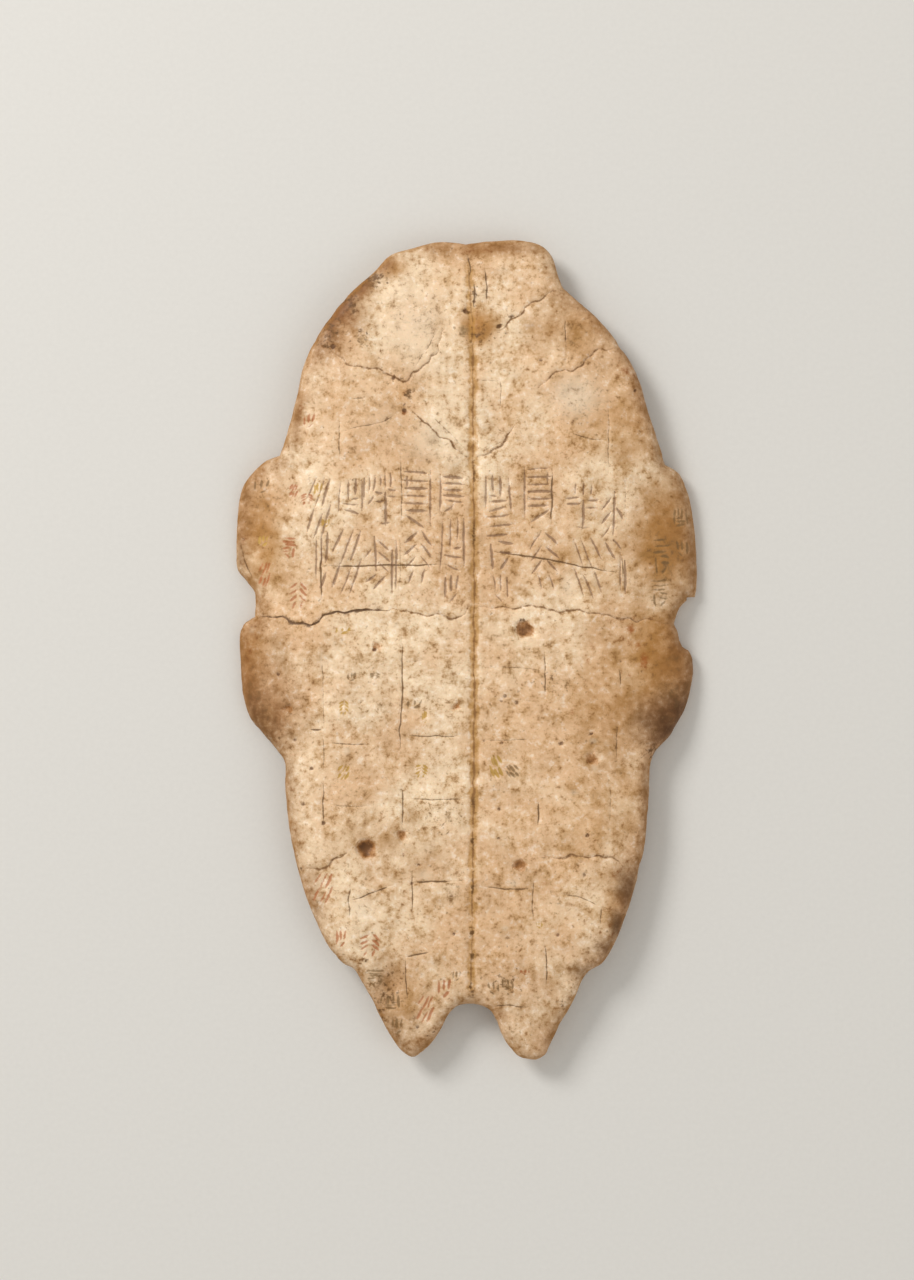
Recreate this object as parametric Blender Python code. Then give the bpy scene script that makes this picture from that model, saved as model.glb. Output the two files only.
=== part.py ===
"""A turtle plastron used as an oracle bone: the lower shell of a river turtle, sawn from the carapace,
polished, chiselled with hollows on its inner face and inscribed on its outer face.

It lies as it rests on a table, outer face up. +Y is the head end, +Z is up. The origin is on the table,
under the middle of the outline. The shell is one piece of bone. Its outline, seams and strokes are drawn
in plan, in millimetres with X = 0 at the midline seam, and the drawing is stretched to LENGTH and WIDTH.
"""

import math

import bmesh
import bpy
import numpy as np
from mathutils.geometry import delaunay_2d_cdt

# Driving dimensions, in metres
LENGTH = 0.210  # head end to the tips of the tail
WIDTH = 0.1186  # across the bridge wings
PLATE = 0.0050  # bone in the middle of a plate
LOBE_RIM = 0.0040  # bone near the edge of the head and tail lobes
LOBE_RIM_REACH = 0.012  # how far in from the edge the lobes are thinned
WING_PLATE = 0.0062  # bone in the bridge wings
EDGE_ROUND = 0.0026  # how far in from the outline the edge rounds over

# How the plate bends down towards the table, in metres
FLAT_HALF = 0.024  # half-width of the level middle
WING_DROP = 0.0086  # fall from the middle to the line on which the wings stand
FOOT_GRIND = 0.0016  # what is ground off the underside of the wings where they stand
HEAD_LEVEL = 0.045  # how far the plate stays level towards the head
HEAD_DROP = 0.0035
TAIL_LEVEL = 0.040  # how far it stays level towards the tail
TAIL_DROP = 0.0030

# Seams, cracks and strokes of the outer face, in metres
MIDLINE_WIDTH = 0.0026
MIDLINE_DEPTH = 0.0005
SEAM_WIDTH = 0.0011
SEAM_DEPTH = 0.0005
CRACK_WIDTH = 0.0013  # the middle seam where it has opened
CRACK_DEPTH = 0.0013
STROKE_WIDTH = 0.0008
STROKE_DEPTH = 0.0004
PIT_SHARE = 0.7  # depth of a pit as a share of its radius

# Hollows of the inner face, in metres. A chiselled slot and a drilled pit on its midline side make one.
SLOT_LENGTH = 0.0125
SLOT_WIDTH = 0.0046
SLOT_WEB = 0.0018  # bone left above a slot
DRILL_RADIUS = 0.0036
DRILL_WEB = 0.0023  # bone left above a drilled pit
DRILL_OFFSET = 0.0036  # from the slot's line to the pit's centre
HOLLOW_COLUMNS = (0.0175, 0.0365, 0.0490)  # from the midline
HOLLOW_PITCH = 0.0200  # from row to row
HOLLOW_FIRST_ROW = 0.0240  # from the tips of the tail
HOLLOW_MARGIN = 0.0014  # level bone kept between a hollow and the rounded edge
KEEL_SHARE = 0.45  # length of a slot's level keel, as a share of the slot's

# Fineness of the faceted surfaces, in metres
EDGE_STEP = 0.0034
SEAM_STEP = 0.0042
SURFACE_STEP = 0.0066
CLEAR_OF_LINES = 0.38  # how far the field of points keeps from drawn lines, as a share of SURFACE_STEP
EDGE_RINGS = (0.10, 0.36, 1.0)  # rings of points around the edge, as shares of EDGE_ROUND
RING_SIDES = 12  # sides of the ring around a pit or a hollow
FLOOR_SIDES = 6  # sides of the ring on its floor
FLOOR_SHARE = 0.5  # size of that ring as a share of the other's
CURVE_PARTS = 12  # straight parts between two points of a drawn curve, before it is resampled
SAME_PLACE = 1e-6  # points nearer than this are one
SHARP_FOLD = math.radians(16)  # a fold sharper than this, away from the rounded edge, is shaded as a crease

BONE = (0.80, 0.66, 0.46, 1.0)
BONE_ROUGHNESS = 0.55

# The outline, drawn in plan anticlockwise from the notch at the head end. Stretches meet at corners.
OUTLINE = {
    "left_front": (
        (-1.4, 104.0), (-5.1, 104.5), (-9.5, 104.4), (-15.6, 102.8), (-21.0, 101.0), (-24.5, 97.3),
        (-30.1, 92.3), (-37.2, 83.9), (-42.4, 74.4), (-44.8, 64.9), (-46.9, 57.0), (-49.3, 49.9),
    ),
    "left_front_wing": (
        (-49.3, 49.9), (-52.9, 48.6), (-56.6, 45.3), (-59.1, 41.3), (-60.2, 35.4), (-60.5, 27.0),
        (-60.2, 20.6), (-57.7, 17.2), (-55.8, 14.9), (-55.6, 11.9), (-55.7, 8.4),
    ),
    "rear": (
        (-55.7, 8.4), (-58.4, 7.0), (-59.5, 4.7), (-59.4, -3.8), (-58.7, -12.0), (-56.6, -18.1),
        (-53.6, -21.7), (-49.7, -26.1), (-48.1, -29.1), (-47.7, -35.8), (-46.9, -44.0), (-45.2, -53.0),
        (-43.2, -60.7), (-40.2, -68.6), (-36.6, -76.0), (-33.1, -80.0), (-30.2, -81.5), (-28.4, -84.2),
        (-25.1, -90.4), (-20.8, -98.6), (-17.8, -102.8), (-15.1, -104.3), (-12.7, -103.1), (-8.7, -98.6),
        (-5.8, -93.2), (-3.5, -91.0), (-0.3, -90.5), (3.1, -91.2), (5.3, -92.8), (6.9, -96.5),
        (9.2, -100.9), (12.0, -104.1), (14.6, -105.0), (16.9, -105.0), (19.0, -103.6), (21.8, -97.8),
        (25.9, -90.1), (28.6, -83.9), (30.6, -81.9), (33.3, -80.4), (35.9, -76.7), (39.5, -68.4),
        (42.5, -58.6), (44.6, -48.6), (45.5, -37.1), (45.9, -28.9), (47.2, -25.9), (51.3, -21.6),
        (54.8, -15.2), (56.6, -8.9), (57.1, -3.3), (55.9, -0.3), (54.2, 0.8), (53.2, 4.2), (52.0, 6.7),
    ),
    "right_notch": ((52.0, 6.7), (53.1, 9.8), (54.3, 11.7), (55.5, 12.8), (55.5, 13.5)),
    "right_step": ((55.5, 13.5), (57.6, 13.5)),
    "right_front_wing": (
        (57.6, 13.5), (58.1, 16.5), (58.1, 24.2), (57.0, 33.9), (55.6, 40.6), (53.3, 45.6), (49.8, 47.7),
    ),
    "right_front": (
        (49.8, 47.7), (47.8, 53.6), (45.2, 61.6), (42.7, 69.9), (37.5, 78.6), (31.8, 85.2), (26.4, 90.0),
        (23.6, 92.6),
    ),
    "right_gular": (
        (23.6, 92.6), (22.2, 96.1), (20.4, 101.1), (17.7, 103.7), (13.3, 104.9), (5.8, 105.0), (0.8, 104.5),
        (-1.4, 104.0),
    ),
}

MIDLINE = (
    (-0.9, 98.5), (-0.3, 89.8), (0.3, 77.0), (0.3, 59.0), (0.6, 30.0), (0.6, -10.0), (0.3, -51.2),
    (-0.2, -86.5),
)

# The seam between the middle plates, which has opened on the left
OPEN_CRACK = (
    (-54.0, 8.3), (-48.4, 8.3), (-46.1, 7.0), (-43.1, 6.7), (-39.7, 7.0), (-37.2, 8.8), (-32.5, 9.8),
    (-27.2, 10.3), (-19.0, 10.1),
)

# The seams that are still closed
SEAMS = {
    "middle_left": ((-19.0, 10.1), (-13.3, 9.3), (-8.2, 9.3), (-5.9, 8.3), (-2.8, 8.5), (-0.5, 10.6)),
    "middle_right": ((1.0, 10.8), (12.3, 10.6), (24.1, 10.1), (35.9, 8.5), (42.0, 7.5), (50.5, 6.8)),
    "head_left": (
        (-38.2, 78.2), (-35.9, 77.2), (-31.5, 72.9), (-29.2, 71.8), (-25.9, 71.8), (-20.2, 69.5),
        (-17.4, 68.8), (-15.1, 70.0), (-9.7, 75.9), (-8.2, 79.3), (-6.7, 81.6),
    ),
    "head_right": (
        (36.0, 76.4), (32.0, 76.2), (30.0, 75.2), (27.9, 72.6), (24.9, 71.3), (21.3, 70.6), (17.2, 66.7),
    ),
    "gular_right": ((21.0, 91.8), (14.6, 88.2), (11.0, 84.7), (6.7, 81.1)),
    "centre_plate_left": ((-16.1, 62.1), (-12.3, 58.3), (-8.2, 54.7), (-4.4, 51.3), (-0.9, 49.0)),
    "centre_plate_right": ((1.5, 49.0), (4.9, 50.8), (8.2, 53.1), (11.3, 56.5)),
    "tail_left": ((-42.0, -55.7), (-37.7, -55.3), (-35.1, -53.2), (-32.0, -51.3)),
    "tail_right": ((18.7, -52.7), (28.4, -52.7), (32.8, -52.7), (35.9, -53.7), (39.5, -55.9)),
}

# Chips and worm pits of the outer face: plan place and radius
PITS = (
    (-26.9, -50.7, 3.0), (-17.9, -47.3, 1.5), (13.6, 5.2, 2.6), (12.0, -54.8, 1.9), (30.8, -28.1, 1.7),
    (-46.6, -15.0, 1.4), (-24.3, 0.6, 1.3), (-3.8, -14.5, 1.2),
)

# The inscription: groups of short strokes as kind, plan place, width and height
STROKE_GROUPS = (
    ("posts", 6.9, 39.8, 6.4, 8.8),
    ("comb", 17.1, 40.1, 7.0, 13.0),
    ("slashes", 27.6, 36.6, 6.4, 11.4),
    ("feather", 35.4, 31.8, 4.8, 16.0),
    ("tiers", 7.2, 27.6, 6.4, 13.4),
    ("chevrons", 18.5, 22.8, 6.8, 13.4),
    ("slashes", 29.4, 20.8, 7.0, 14.4),
    ("single", 38.4, 19.6, 2.0, 6.4),
    ("ticks", 7.3, 15.7, 3.8, 6.2),
    ("comb", -4.9, 40.0, 5.8, 8.4),
    ("tiers", -14.1, 38.4, 7.0, 13.4),
    ("single", -20.8, 38.6, 2.0, 12.8),
    ("ticks", -25.6, 40.8, 3.0, 7.0),
    ("chevrons", -31.0, 39.2, 6.0, 7.8),
    ("slashes", -38.9, 36.2, 5.6, 14.4),
    ("feather", -5.0, 26.8, 6.0, 13.2),
    ("posts", -13.6, 23.6, 6.6, 12.2),
    ("single", -19.0, 21.2, 2.0, 12.4),
    ("chevrons", -24.0, 22.2, 4.8, 12.0),
    ("tiers", -31.4, 22.4, 6.4, 15.8),
    ("ticks", -38.2, 23.0, 3.2, 13.6),
    ("ticks", -5.1, 15.7, 3.6, 6.0),
)

# The strokes of each kind, in a square from -1 to 1. They keep clear of each other and spell nothing.
STROKES = {
    "posts": (
        (-0.85, 0.90, -0.92, -0.62), (-0.10, 1.00, -0.05, 0.10), (0.62, 0.70, 0.66, -0.95),
        (-0.50, -0.20, 0.20, -0.34), (-0.30, -0.62, 0.10, -1.00),
    ),
    "comb": (
        (0.95, 1.00, 0.98, -1.00), (-0.80, 0.70, 0.52, 0.84), (-0.95, 0.30, 0.60, 0.40),
        (-0.55, -0.08, 0.58, 0.00), (-0.90, -0.52, 0.30, -0.36), (-0.10, -0.70, 0.52, -1.00),
    ),
    "slashes": (
        (-0.75, 0.90, -0.15, 0.10), (-0.20, 1.00, 0.60, 0.08), (0.50, 0.95, 0.95, 0.42),
        (-0.85, -0.10, -0.20, -0.92), (-0.18, -0.14, 0.48, -1.00), (0.45, -0.16, 0.92, -0.74),
    ),
    "feather": (
        (0.05, 1.00, 0.00, -1.00), (-0.50, 0.62, -0.95, 0.26), (-0.48, 0.08, -1.00, -0.26),
        (0.50, 0.44, 0.95, 0.12), (0.46, -0.20, 0.90, -0.56),
    ),
    "tiers": (
        (-0.95, 0.84, 0.62, 0.98), (-0.70, 0.42, 0.95, 0.54), (-0.90, 0.02, 0.40, 0.10),
        (-0.62, -0.38, -0.42, -1.00), (0.15, -0.30, 0.90, -0.40), (0.50, -0.70, 0.12, -0.98),
    ),
    "chevrons": (
        (-0.22, 1.00, -0.95, 0.40), (0.26, 0.90, 0.92, 0.50), (-0.10, 0.30, -0.80, -0.20),
        (0.30, 0.26, 0.80, -0.70), (-0.60, -0.52, -0.05, -1.00),
    ),
    "ticks": ((-0.80, 0.95, -0.30, 0.12), (0.70, 0.80, 0.85, -0.60), (-0.60, -0.30, 0.05, -1.00)),
    "single": ((-0.10, 1.00, 0.10, -1.00),),
}


def smooth(share):
    share = np.clip(share, 0, 1)
    return share * share * (3 - 2 * share)


def through(points):
    """A smooth curve through drawn points, as many short straight parts (centripetal Catmull-Rom)."""
    points = np.array(points, float)
    if len(points) < 3:
        return points
    ends = (2 * points[:1] - points[1:2], 2 * points[-1:] - points[-2:-1])
    points = np.vstack((ends[0], points, ends[1]))
    knots = np.concatenate(([0], np.cumsum(np.linalg.norm(np.diff(points, axis=0), axis=1) ** 0.5)))
    curve = []
    for i in range(1, len(points) - 2):
        t = np.linspace(knots[i], knots[i + 1], CURVE_PARTS, endpoint=False)[:, None]

        def between(a, b, t_a, t_b, t=t):
            return ((t_b - t) * a + (t - t_a) * b) / (t_b - t_a)

        first = [between(points[j], points[j + 1], knots[j], knots[j + 1]) for j in (i - 1, i, i + 1)]
        second = [between(first[j], first[j + 1], knots[i - 1 + j], knots[i + 1 + j]) for j in (0, 1)]
        curve.append(between(second[0], second[1], knots[i], knots[i + 1]))
    return np.vstack(curve + [points[-2:-1]])


def evenly(curve, step):
    """Points about a step apart along a curve, its two ends among them."""
    along = np.concatenate(([0], np.cumsum(np.linalg.norm(np.diff(curve, axis=0), axis=1))))
    count = max(1, round(along[-1] / step))
    at = np.linspace(0, along[-1], count + 1)
    return np.stack([np.interp(at, along, curve[:, axis]) for axis in (0, 1)], axis=1)


class Drawing:
    """Takes points of the drawing to the part's own plan, in metres."""

    def __init__(self):
        drawn = np.vstack([through(stretch) for stretch in OUTLINE.values()])
        low, high = drawn.min(axis=0), drawn.max(axis=0)
        self.scale = np.array((WIDTH, LENGTH)) / (high - low)
        self.middle = (low + high) / 2

    def place(self, points):
        return (np.asarray(points, float) - self.middle) * self.scale

    def midline(self):
        return self.place((0, 0))[0]


DRAWING = Drawing()


def outline_points():
    """The closed outline as points about EDGE_STEP apart, anticlockwise."""
    stretches = [evenly(DRAWING.place(through(points)), EDGE_STEP)[:-1] for points in OUTLINE.values()]
    return np.vstack(stretches)


EDGE = outline_points()


def distance_to(points, starts, ends):
    """The distance of each point to the nearest of the straight parts from starts to ends."""
    run = ends - starts
    offset = points[:, None, :] - starts
    share = np.clip((offset * run).sum(axis=2) / (run * run).sum(axis=1), 0, 1)
    return np.linalg.norm(offset - share[..., None] * run, axis=2).min(axis=1)


def inside_by(points):
    """How far inside the outline each point is."""
    return distance_to(points, EDGE, np.roll(EDGE, -1, axis=0))


def within_outline(points):
    """Whether each point is inside the outline, by counting the edges to its right."""
    a, b = EDGE, np.roll(EDGE, -1, axis=0)
    x, y = points[:, :1], points[:, 1:]
    spans = (a[:, 1] > y) != (b[:, 1] > y)
    rise = np.where(b[:, 1] == a[:, 1], 1.0, b[:, 1] - a[:, 1])
    crossing = a[:, 0] + (y - a[:, 1]) * (b[:, 0] - a[:, 0]) / rise
    return (spans & (x < crossing)).sum(axis=1) % 2 == 1


def bend_run(side):
    """How far the fall of the wing on one side (-1 left, 1 right) takes in plan."""
    return (side * (EDGE[:, 0] - DRAWING.midline())).max() - EDGE_ROUND - FLAT_HALF


def faces_without_relief(points):
    """The heights of the inner and outer face, before the edge is rounded and the relief is cut."""
    x, y = points[:, 0], points[:, 1]
    from_midline = x - DRAWING.midline()
    run = np.where(from_midline < 0, bend_run(-1), bend_run(1))
    bend = np.clip((np.abs(from_midline) - FLAT_HALF) / run, 0, None)
    head = np.clip((y - HEAD_LEVEL) / (LENGTH / 2 - HEAD_LEVEL), 0, None)
    tail = np.clip((-y - TAIL_LEVEL) / (LENGTH / 2 - TAIL_LEVEL), 0, None)
    inner = WING_DROP * (1 - bend**2) - FOOT_GRIND - HEAD_DROP * head**2 - TAIL_DROP * tail**2
    bend = np.minimum(bend, 1)
    rim = (1 - smooth(inside_by(points) / LOBE_RIM_REACH)) * (1 - bend)
    thickness = PLATE - (PLATE - LOBE_RIM) * rim + (WING_PLATE - PLATE) * bend
    return np.maximum(inner, 0), inner + thickness


def roundness(points):
    """0 on the outline, rising as a quarter circle to 1 at EDGE_ROUND inside it."""
    share = np.clip((inside_by(points) - SAME_PLACE) / EDGE_ROUND, 0, 1)
    return np.sqrt(1 - (1 - share) ** 2)


class Grooves:
    """V-shaped grooves along curves, such as seams, cracks and strokes."""

    def __init__(self):
        self.lines = []

    def add(self, curve, width, depth):
        self.lines.append((np.asarray(curve, float), width / 2, depth))

    def cut(self, points):
        """How deep each point lies in the deepest groove over it."""
        depth = np.zeros(len(points))
        for curve, half, deepest in self.lines:
            away = distance_to(points, curve[:-1], curve[1:])
            depth = np.maximum(depth, deepest * np.clip(1 - away / half, 0, None))
        return depth

    def guides(self):
        """The lines that the surface's edges follow: each groove's bottom, and a line around its rim."""
        found = []
        for curve, half, _ in self.lines:
            along = np.gradient(curve, axis=0)
            along /= np.linalg.norm(along, axis=1)[:, None]
            side = np.stack((-along[:, 1], along[:, 0]), axis=1) * half
            tips = (curve[:1] - along[:1] * half, curve[-1:] + along[-1:] * half)
            rim = np.vstack((tips[0], curve + side, tips[1], (curve - side)[::-1], tips[0]))
            found += [curve, rim]
        return found


def seam_grooves():
    """The midline seam, the seams between the plates and the crack."""
    grooves = Grooves()
    grooves.add(evenly(DRAWING.place(through(MIDLINE)), 2 * SEAM_STEP), MIDLINE_WIDTH, MIDLINE_DEPTH)
    grooves.add(evenly(DRAWING.place(through(OPEN_CRACK)), SEAM_STEP), CRACK_WIDTH, CRACK_DEPTH)
    for points in SEAMS.values():
        grooves.add(evenly(DRAWING.place(through(points)), SEAM_STEP), SEAM_WIDTH, SEAM_DEPTH)
    return grooves


def add_strokes(grooves):
    """The inscription's strokes. Groups left of the midline are turned over, as they often are."""
    for kind, x, y, width, height in STROKE_GROUPS:
        half = np.array((math.copysign(width / 2, x), height / 2))
        for stroke in STROKES[kind]:
            ends = np.array(stroke).reshape(2, 2) * half + (x, y)
            grooves.add(DRAWING.place(ends), STROKE_WIDTH, STROKE_DEPTH)


def ring(centre, half_axes, sides):
    """A closed ring of points around a centre."""
    turn = np.arange(sides + 1) * (2 * math.pi / sides)
    return centre + np.stack((np.cos(turn), np.sin(turn)), axis=1) * half_axes


def from_centre(points, centre, half_axes):
    """How far out points are in a ring: 0 at its centre and 1 or more on each of its straight sides."""
    return np.linalg.norm((points - centre) / half_axes, axis=1) / math.cos(math.pi / RING_SIDES)


class Pits:
    """Shallow round pits of the outer face."""

    def __init__(self):
        self.placed = [(DRAWING.place((x, y)), radius * DRAWING.scale.mean()) for x, y, radius in PITS]

    def cut(self, points):
        depth = np.zeros(len(points))
        for centre, radius in self.placed:
            bowl = np.clip(1 - from_centre(points, centre, radius) ** 2, 0, 1)
            depth = np.maximum(depth, radius * PIT_SHARE * bowl)
        return depth

    def guides(self):
        rims = [ring(centre, radius, RING_SIDES) for centre, radius in self.placed]
        return rims + [ring(centre, radius * FLOOR_SHARE, FLOOR_SIDES) for centre, radius in self.placed]

    def clear_of(self, point, reach):
        return all(np.linalg.norm(point - centre) > radius + reach for centre, radius in self.placed)


class Hollows:
    """The chiselled slots and drilled pits of the inner face, in rows on both sides of the midline."""

    def __init__(self, pits):
        self.placed = []
        reach = SLOT_LENGTH / 2
        rows = np.arange(HOLLOW_FIRST_ROW - LENGTH / 2, LENGTH / 2, HOLLOW_PITCH)
        for row in rows:
            for side in (-1, 1):
                for column in HOLLOW_COLUMNS:
                    slot = np.array((DRAWING.midline() + side * column, row))
                    drill = slot - np.array((side * DRILL_OFFSET, 0))
                    tips = slot + np.array(((0, -reach), (0, reach), (side * SLOT_WIDTH / 2, 0)))
                    level = inside_by(tips).min() - EDGE_ROUND
                    if within_outline(tips).all() and level > HOLLOW_MARGIN and pits.clear_of(slot, reach):
                        self.placed.append((slot, drill))

    def cut(self, points, thickness):
        """How far each point of the inner face is cut up into the bone."""
        depth = np.zeros(len(points))
        slot_depth = np.clip(thickness - SLOT_WEB, 0, None)
        drill_depth = np.clip(thickness - DRILL_WEB, 0, None)
        for slot, drill in self.placed:
            wedge = (1 - from_centre(points, slot, (SLOT_WIDTH / 2, SLOT_LENGTH / 2))) / (1 - KEEL_SHARE)
            depth = np.maximum(depth, slot_depth * np.clip(wedge, 0, 1))
            bowl = 1 - from_centre(points, drill, DRILL_RADIUS) ** 2
            depth = np.maximum(depth, drill_depth * np.clip(bowl, 0, 1))
        return depth

    def guides(self):
        found = []
        for slot, drill in self.placed:
            keel = SLOT_LENGTH / 2 * KEEL_SHARE
            found.append(ring(slot, (SLOT_WIDTH / 2, SLOT_LENGTH / 2), RING_SIDES))
            found.append(np.array((slot - (0, keel), slot + (0, keel))))
            found.append(ring(drill, DRILL_RADIUS, RING_SIDES))
            found.append(ring(drill, DRILL_RADIUS * FLOOR_SHARE, FLOOR_SIDES))
        return found


def foot_lines():
    """The lines on the inner face where the ground flats of the wings begin."""
    share = math.sqrt(max(0, 1 - FOOT_GRIND / WING_DROP))
    found = []
    for side in (-1, 1):
        x = DRAWING.midline() + side * (FLAT_HALF + share * bend_run(side))
        line = evenly(np.array(((x, -LENGTH / 2), (x, LENGTH / 2))), EDGE_STEP)
        keep = within_outline(line) & (inside_by(line) > EDGE_ROUND)
        for first in np.flatnonzero(keep[:-1] & keep[1:]):
            found.append(line[first : first + 2])
    return found


def edge_rings():
    """Rings of points that follow the outline, so that the rounded edge is smooth."""
    before, after = np.roll(EDGE, 1, axis=0), np.roll(EDGE, -1, axis=0)
    along = (after - before) / np.linalg.norm(after - before, axis=1)[:, None]
    inward = np.stack((-along[:, 1], along[:, 0]), axis=1)
    found = []
    for share in EDGE_RINGS:
        depth = share * EDGE_ROUND
        points = EDGE + inward * depth
        keep = (inside_by(points) > 0.9 * depth) & within_outline(points)
        found.append(points[keep])
    return np.vstack(found)


def field_points(guides):
    """A triangular field of points over the plate, clear of the edge and of the guide lines."""
    rise = SURFACE_STEP * math.sqrt(3) / 2
    rows = np.arange(-LENGTH / 2, LENGTH / 2, rise)
    places = np.arange(-WIDTH / 2, WIDTH / 2 + SURFACE_STEP, SURFACE_STEP)
    field = np.array([(x + (i % 2) * SURFACE_STEP / 2, y) for i, y in enumerate(rows) for x in places])
    field = field[within_outline(field)]
    gap = CLEAR_OF_LINES * SURFACE_STEP
    field = field[inside_by(field) > EDGE_ROUND + gap]
    starts = np.vstack([guide[:-1] for guide in guides])
    ends = np.vstack([guide[1:] for guide in guides])
    return field[distance_to(field, starts, ends) > gap]


def triangulate(guides):
    """Plan points and triangles of one face, whose edges follow the outline and the guide lines."""
    points, lines = [EDGE], []
    count = len(EDGE)
    for guide in guides:
        lines += [(count + i, count + i + 1) for i in range(len(guide) - 1)]
        points.append(guide)
        count += len(guide)
    points += [edge_rings(), field_points(guides)]
    flat = [tuple(map(float, point)) for point in np.vstack(points)]
    border = list(range(len(EDGE)))
    found = delaunay_2d_cdt(flat, lines, [border], 1, 1e-7)
    return np.array([tuple(point) for point in found[0]]), found[2]


def outer_face():
    pits, grooves = Pits(), seam_grooves()
    add_strokes(grooves)
    points, triangles = triangulate(grooves.guides() + pits.guides())
    inner, outer = faces_without_relief(points)
    cut = np.maximum(grooves.cut(points), pits.cut(points)) * smooth(inside_by(points) / EDGE_ROUND)
    height = (inner + outer) / 2 + (outer - inner) / 2 * roundness(points) - cut
    return np.column_stack((points, height)), triangles


def inner_face():
    hollows = Hollows(Pits())
    points, triangles = triangulate(hollows.guides() + foot_lines())
    inner, outer = faces_without_relief(points)
    height = (inner + outer) / 2 - (outer - inner) / 2 * roundness(points)
    return np.column_stack((points, height + hollows.cut(points, outer - inner))), triangles


def bone_material():
    material = bpy.data.materials.new("polished_shell_bone")
    material.use_nodes = True
    shader = material.node_tree.nodes["Principled BSDF"]
    shader.inputs["Base Color"].default_value = BONE
    shader.inputs["Roughness"].default_value = BONE_ROUGHNESS
    shader.inputs["Metallic"].default_value = 0.0
    return material


def make_plastron():
    """The two faces share the points of the outline, which closes the solid."""
    build = bmesh.new()
    for points, triangles in (outer_face(), inner_face()):
        corners = [build.verts.new(point) for point in points]
        for triangle in triangles:
            build.faces.new([corners[i] for i in triangle])
    bmesh.ops.remove_doubles(build, verts=build.verts, dist=SAME_PLACE)
    bmesh.ops.recalc_face_normals(build, faces=build.faces)
    for face in build.faces:
        face.smooth = True
    middles = np.array([(edge.verts[0].co + edge.verts[1].co)[:2] for edge in build.edges]) / 2
    for edge, depth in zip(build.edges, inside_by(middles)):
        edge.smooth = bool(depth < EDGE_ROUND or edge.calc_face_angle(0) < SHARP_FOLD)
    mesh = bpy.data.meshes.new("plastron")
    build.to_mesh(mesh)
    build.free()
    mesh.materials.append(bone_material())
    plastron = bpy.data.objects.new("plastron", mesh)
    bpy.context.scene.collection.objects.link(plastron)
    return plastron


for leftover in list(bpy.data.objects):
    bpy.data.objects.remove(leftover)
make_plastron()
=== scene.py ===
# %% [markdown]
# # A turtle shell oracle bone
#
# The real thing is a plastron, the flat lower shell of a river turtle. It was sawn from the upper shell,
# scraped level and polished, and rows of hollows were chiselled and drilled into its inner face. Heated
# there, it split with small T-shaped cracks on the outer face, beside which rows of strokes were cut.
#
# Such a sheet of bone could be sculpted by hand, but everything on it can be drawn in plan: the outline,
# the seams, the cracks and the strokes. So this lesson draws it in plan first, lays a fine net of triangles
# over the drawing, lifts the net to the shell's curved form, and lets Geometry Nodes cut every line.
#
# All lengths are in metres. The outer face looks up, +Y is the head end.

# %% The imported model, whose size and place the bone keeps
import math

import bmesh
import bpy
import numpy as np
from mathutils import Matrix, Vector, kdtree
from mathutils.geometry import delaunay_2d_cdt


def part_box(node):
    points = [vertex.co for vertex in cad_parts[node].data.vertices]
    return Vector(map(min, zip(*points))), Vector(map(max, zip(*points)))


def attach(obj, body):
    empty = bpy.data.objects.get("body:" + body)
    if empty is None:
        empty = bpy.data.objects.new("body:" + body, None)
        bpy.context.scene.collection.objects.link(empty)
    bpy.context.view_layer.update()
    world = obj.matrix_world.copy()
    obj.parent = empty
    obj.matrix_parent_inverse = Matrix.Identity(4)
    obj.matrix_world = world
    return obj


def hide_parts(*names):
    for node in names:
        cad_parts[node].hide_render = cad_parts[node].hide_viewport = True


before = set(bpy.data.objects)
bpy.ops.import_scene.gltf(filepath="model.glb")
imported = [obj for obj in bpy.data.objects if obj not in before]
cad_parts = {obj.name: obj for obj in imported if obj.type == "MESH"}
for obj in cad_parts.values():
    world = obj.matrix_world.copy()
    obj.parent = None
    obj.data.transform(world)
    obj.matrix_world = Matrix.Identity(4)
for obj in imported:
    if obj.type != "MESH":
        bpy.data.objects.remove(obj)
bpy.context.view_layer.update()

MM = 0.001
lowest, highest = (np.array(corner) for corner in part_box("plastron"))
WIDTH, LENGTH, HEIGHT = highest - lowest
print(f"the shell is {WIDTH / MM:.1f} x {LENGTH / MM:.1f} x {HEIGHT / MM:.1f} mm")

# %% [markdown]
# ## The outline
#
# A plastron has two lobes, a bridge wing on each side where it was sawn from the upper shell, and a forked
# tail. Here the right wing is broken in a step and the head end has a small chip. The drawing below is in
# millimetres, with X = 0 at the midline seam. Stretches meet at corners, and each is a smooth curve.

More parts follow.
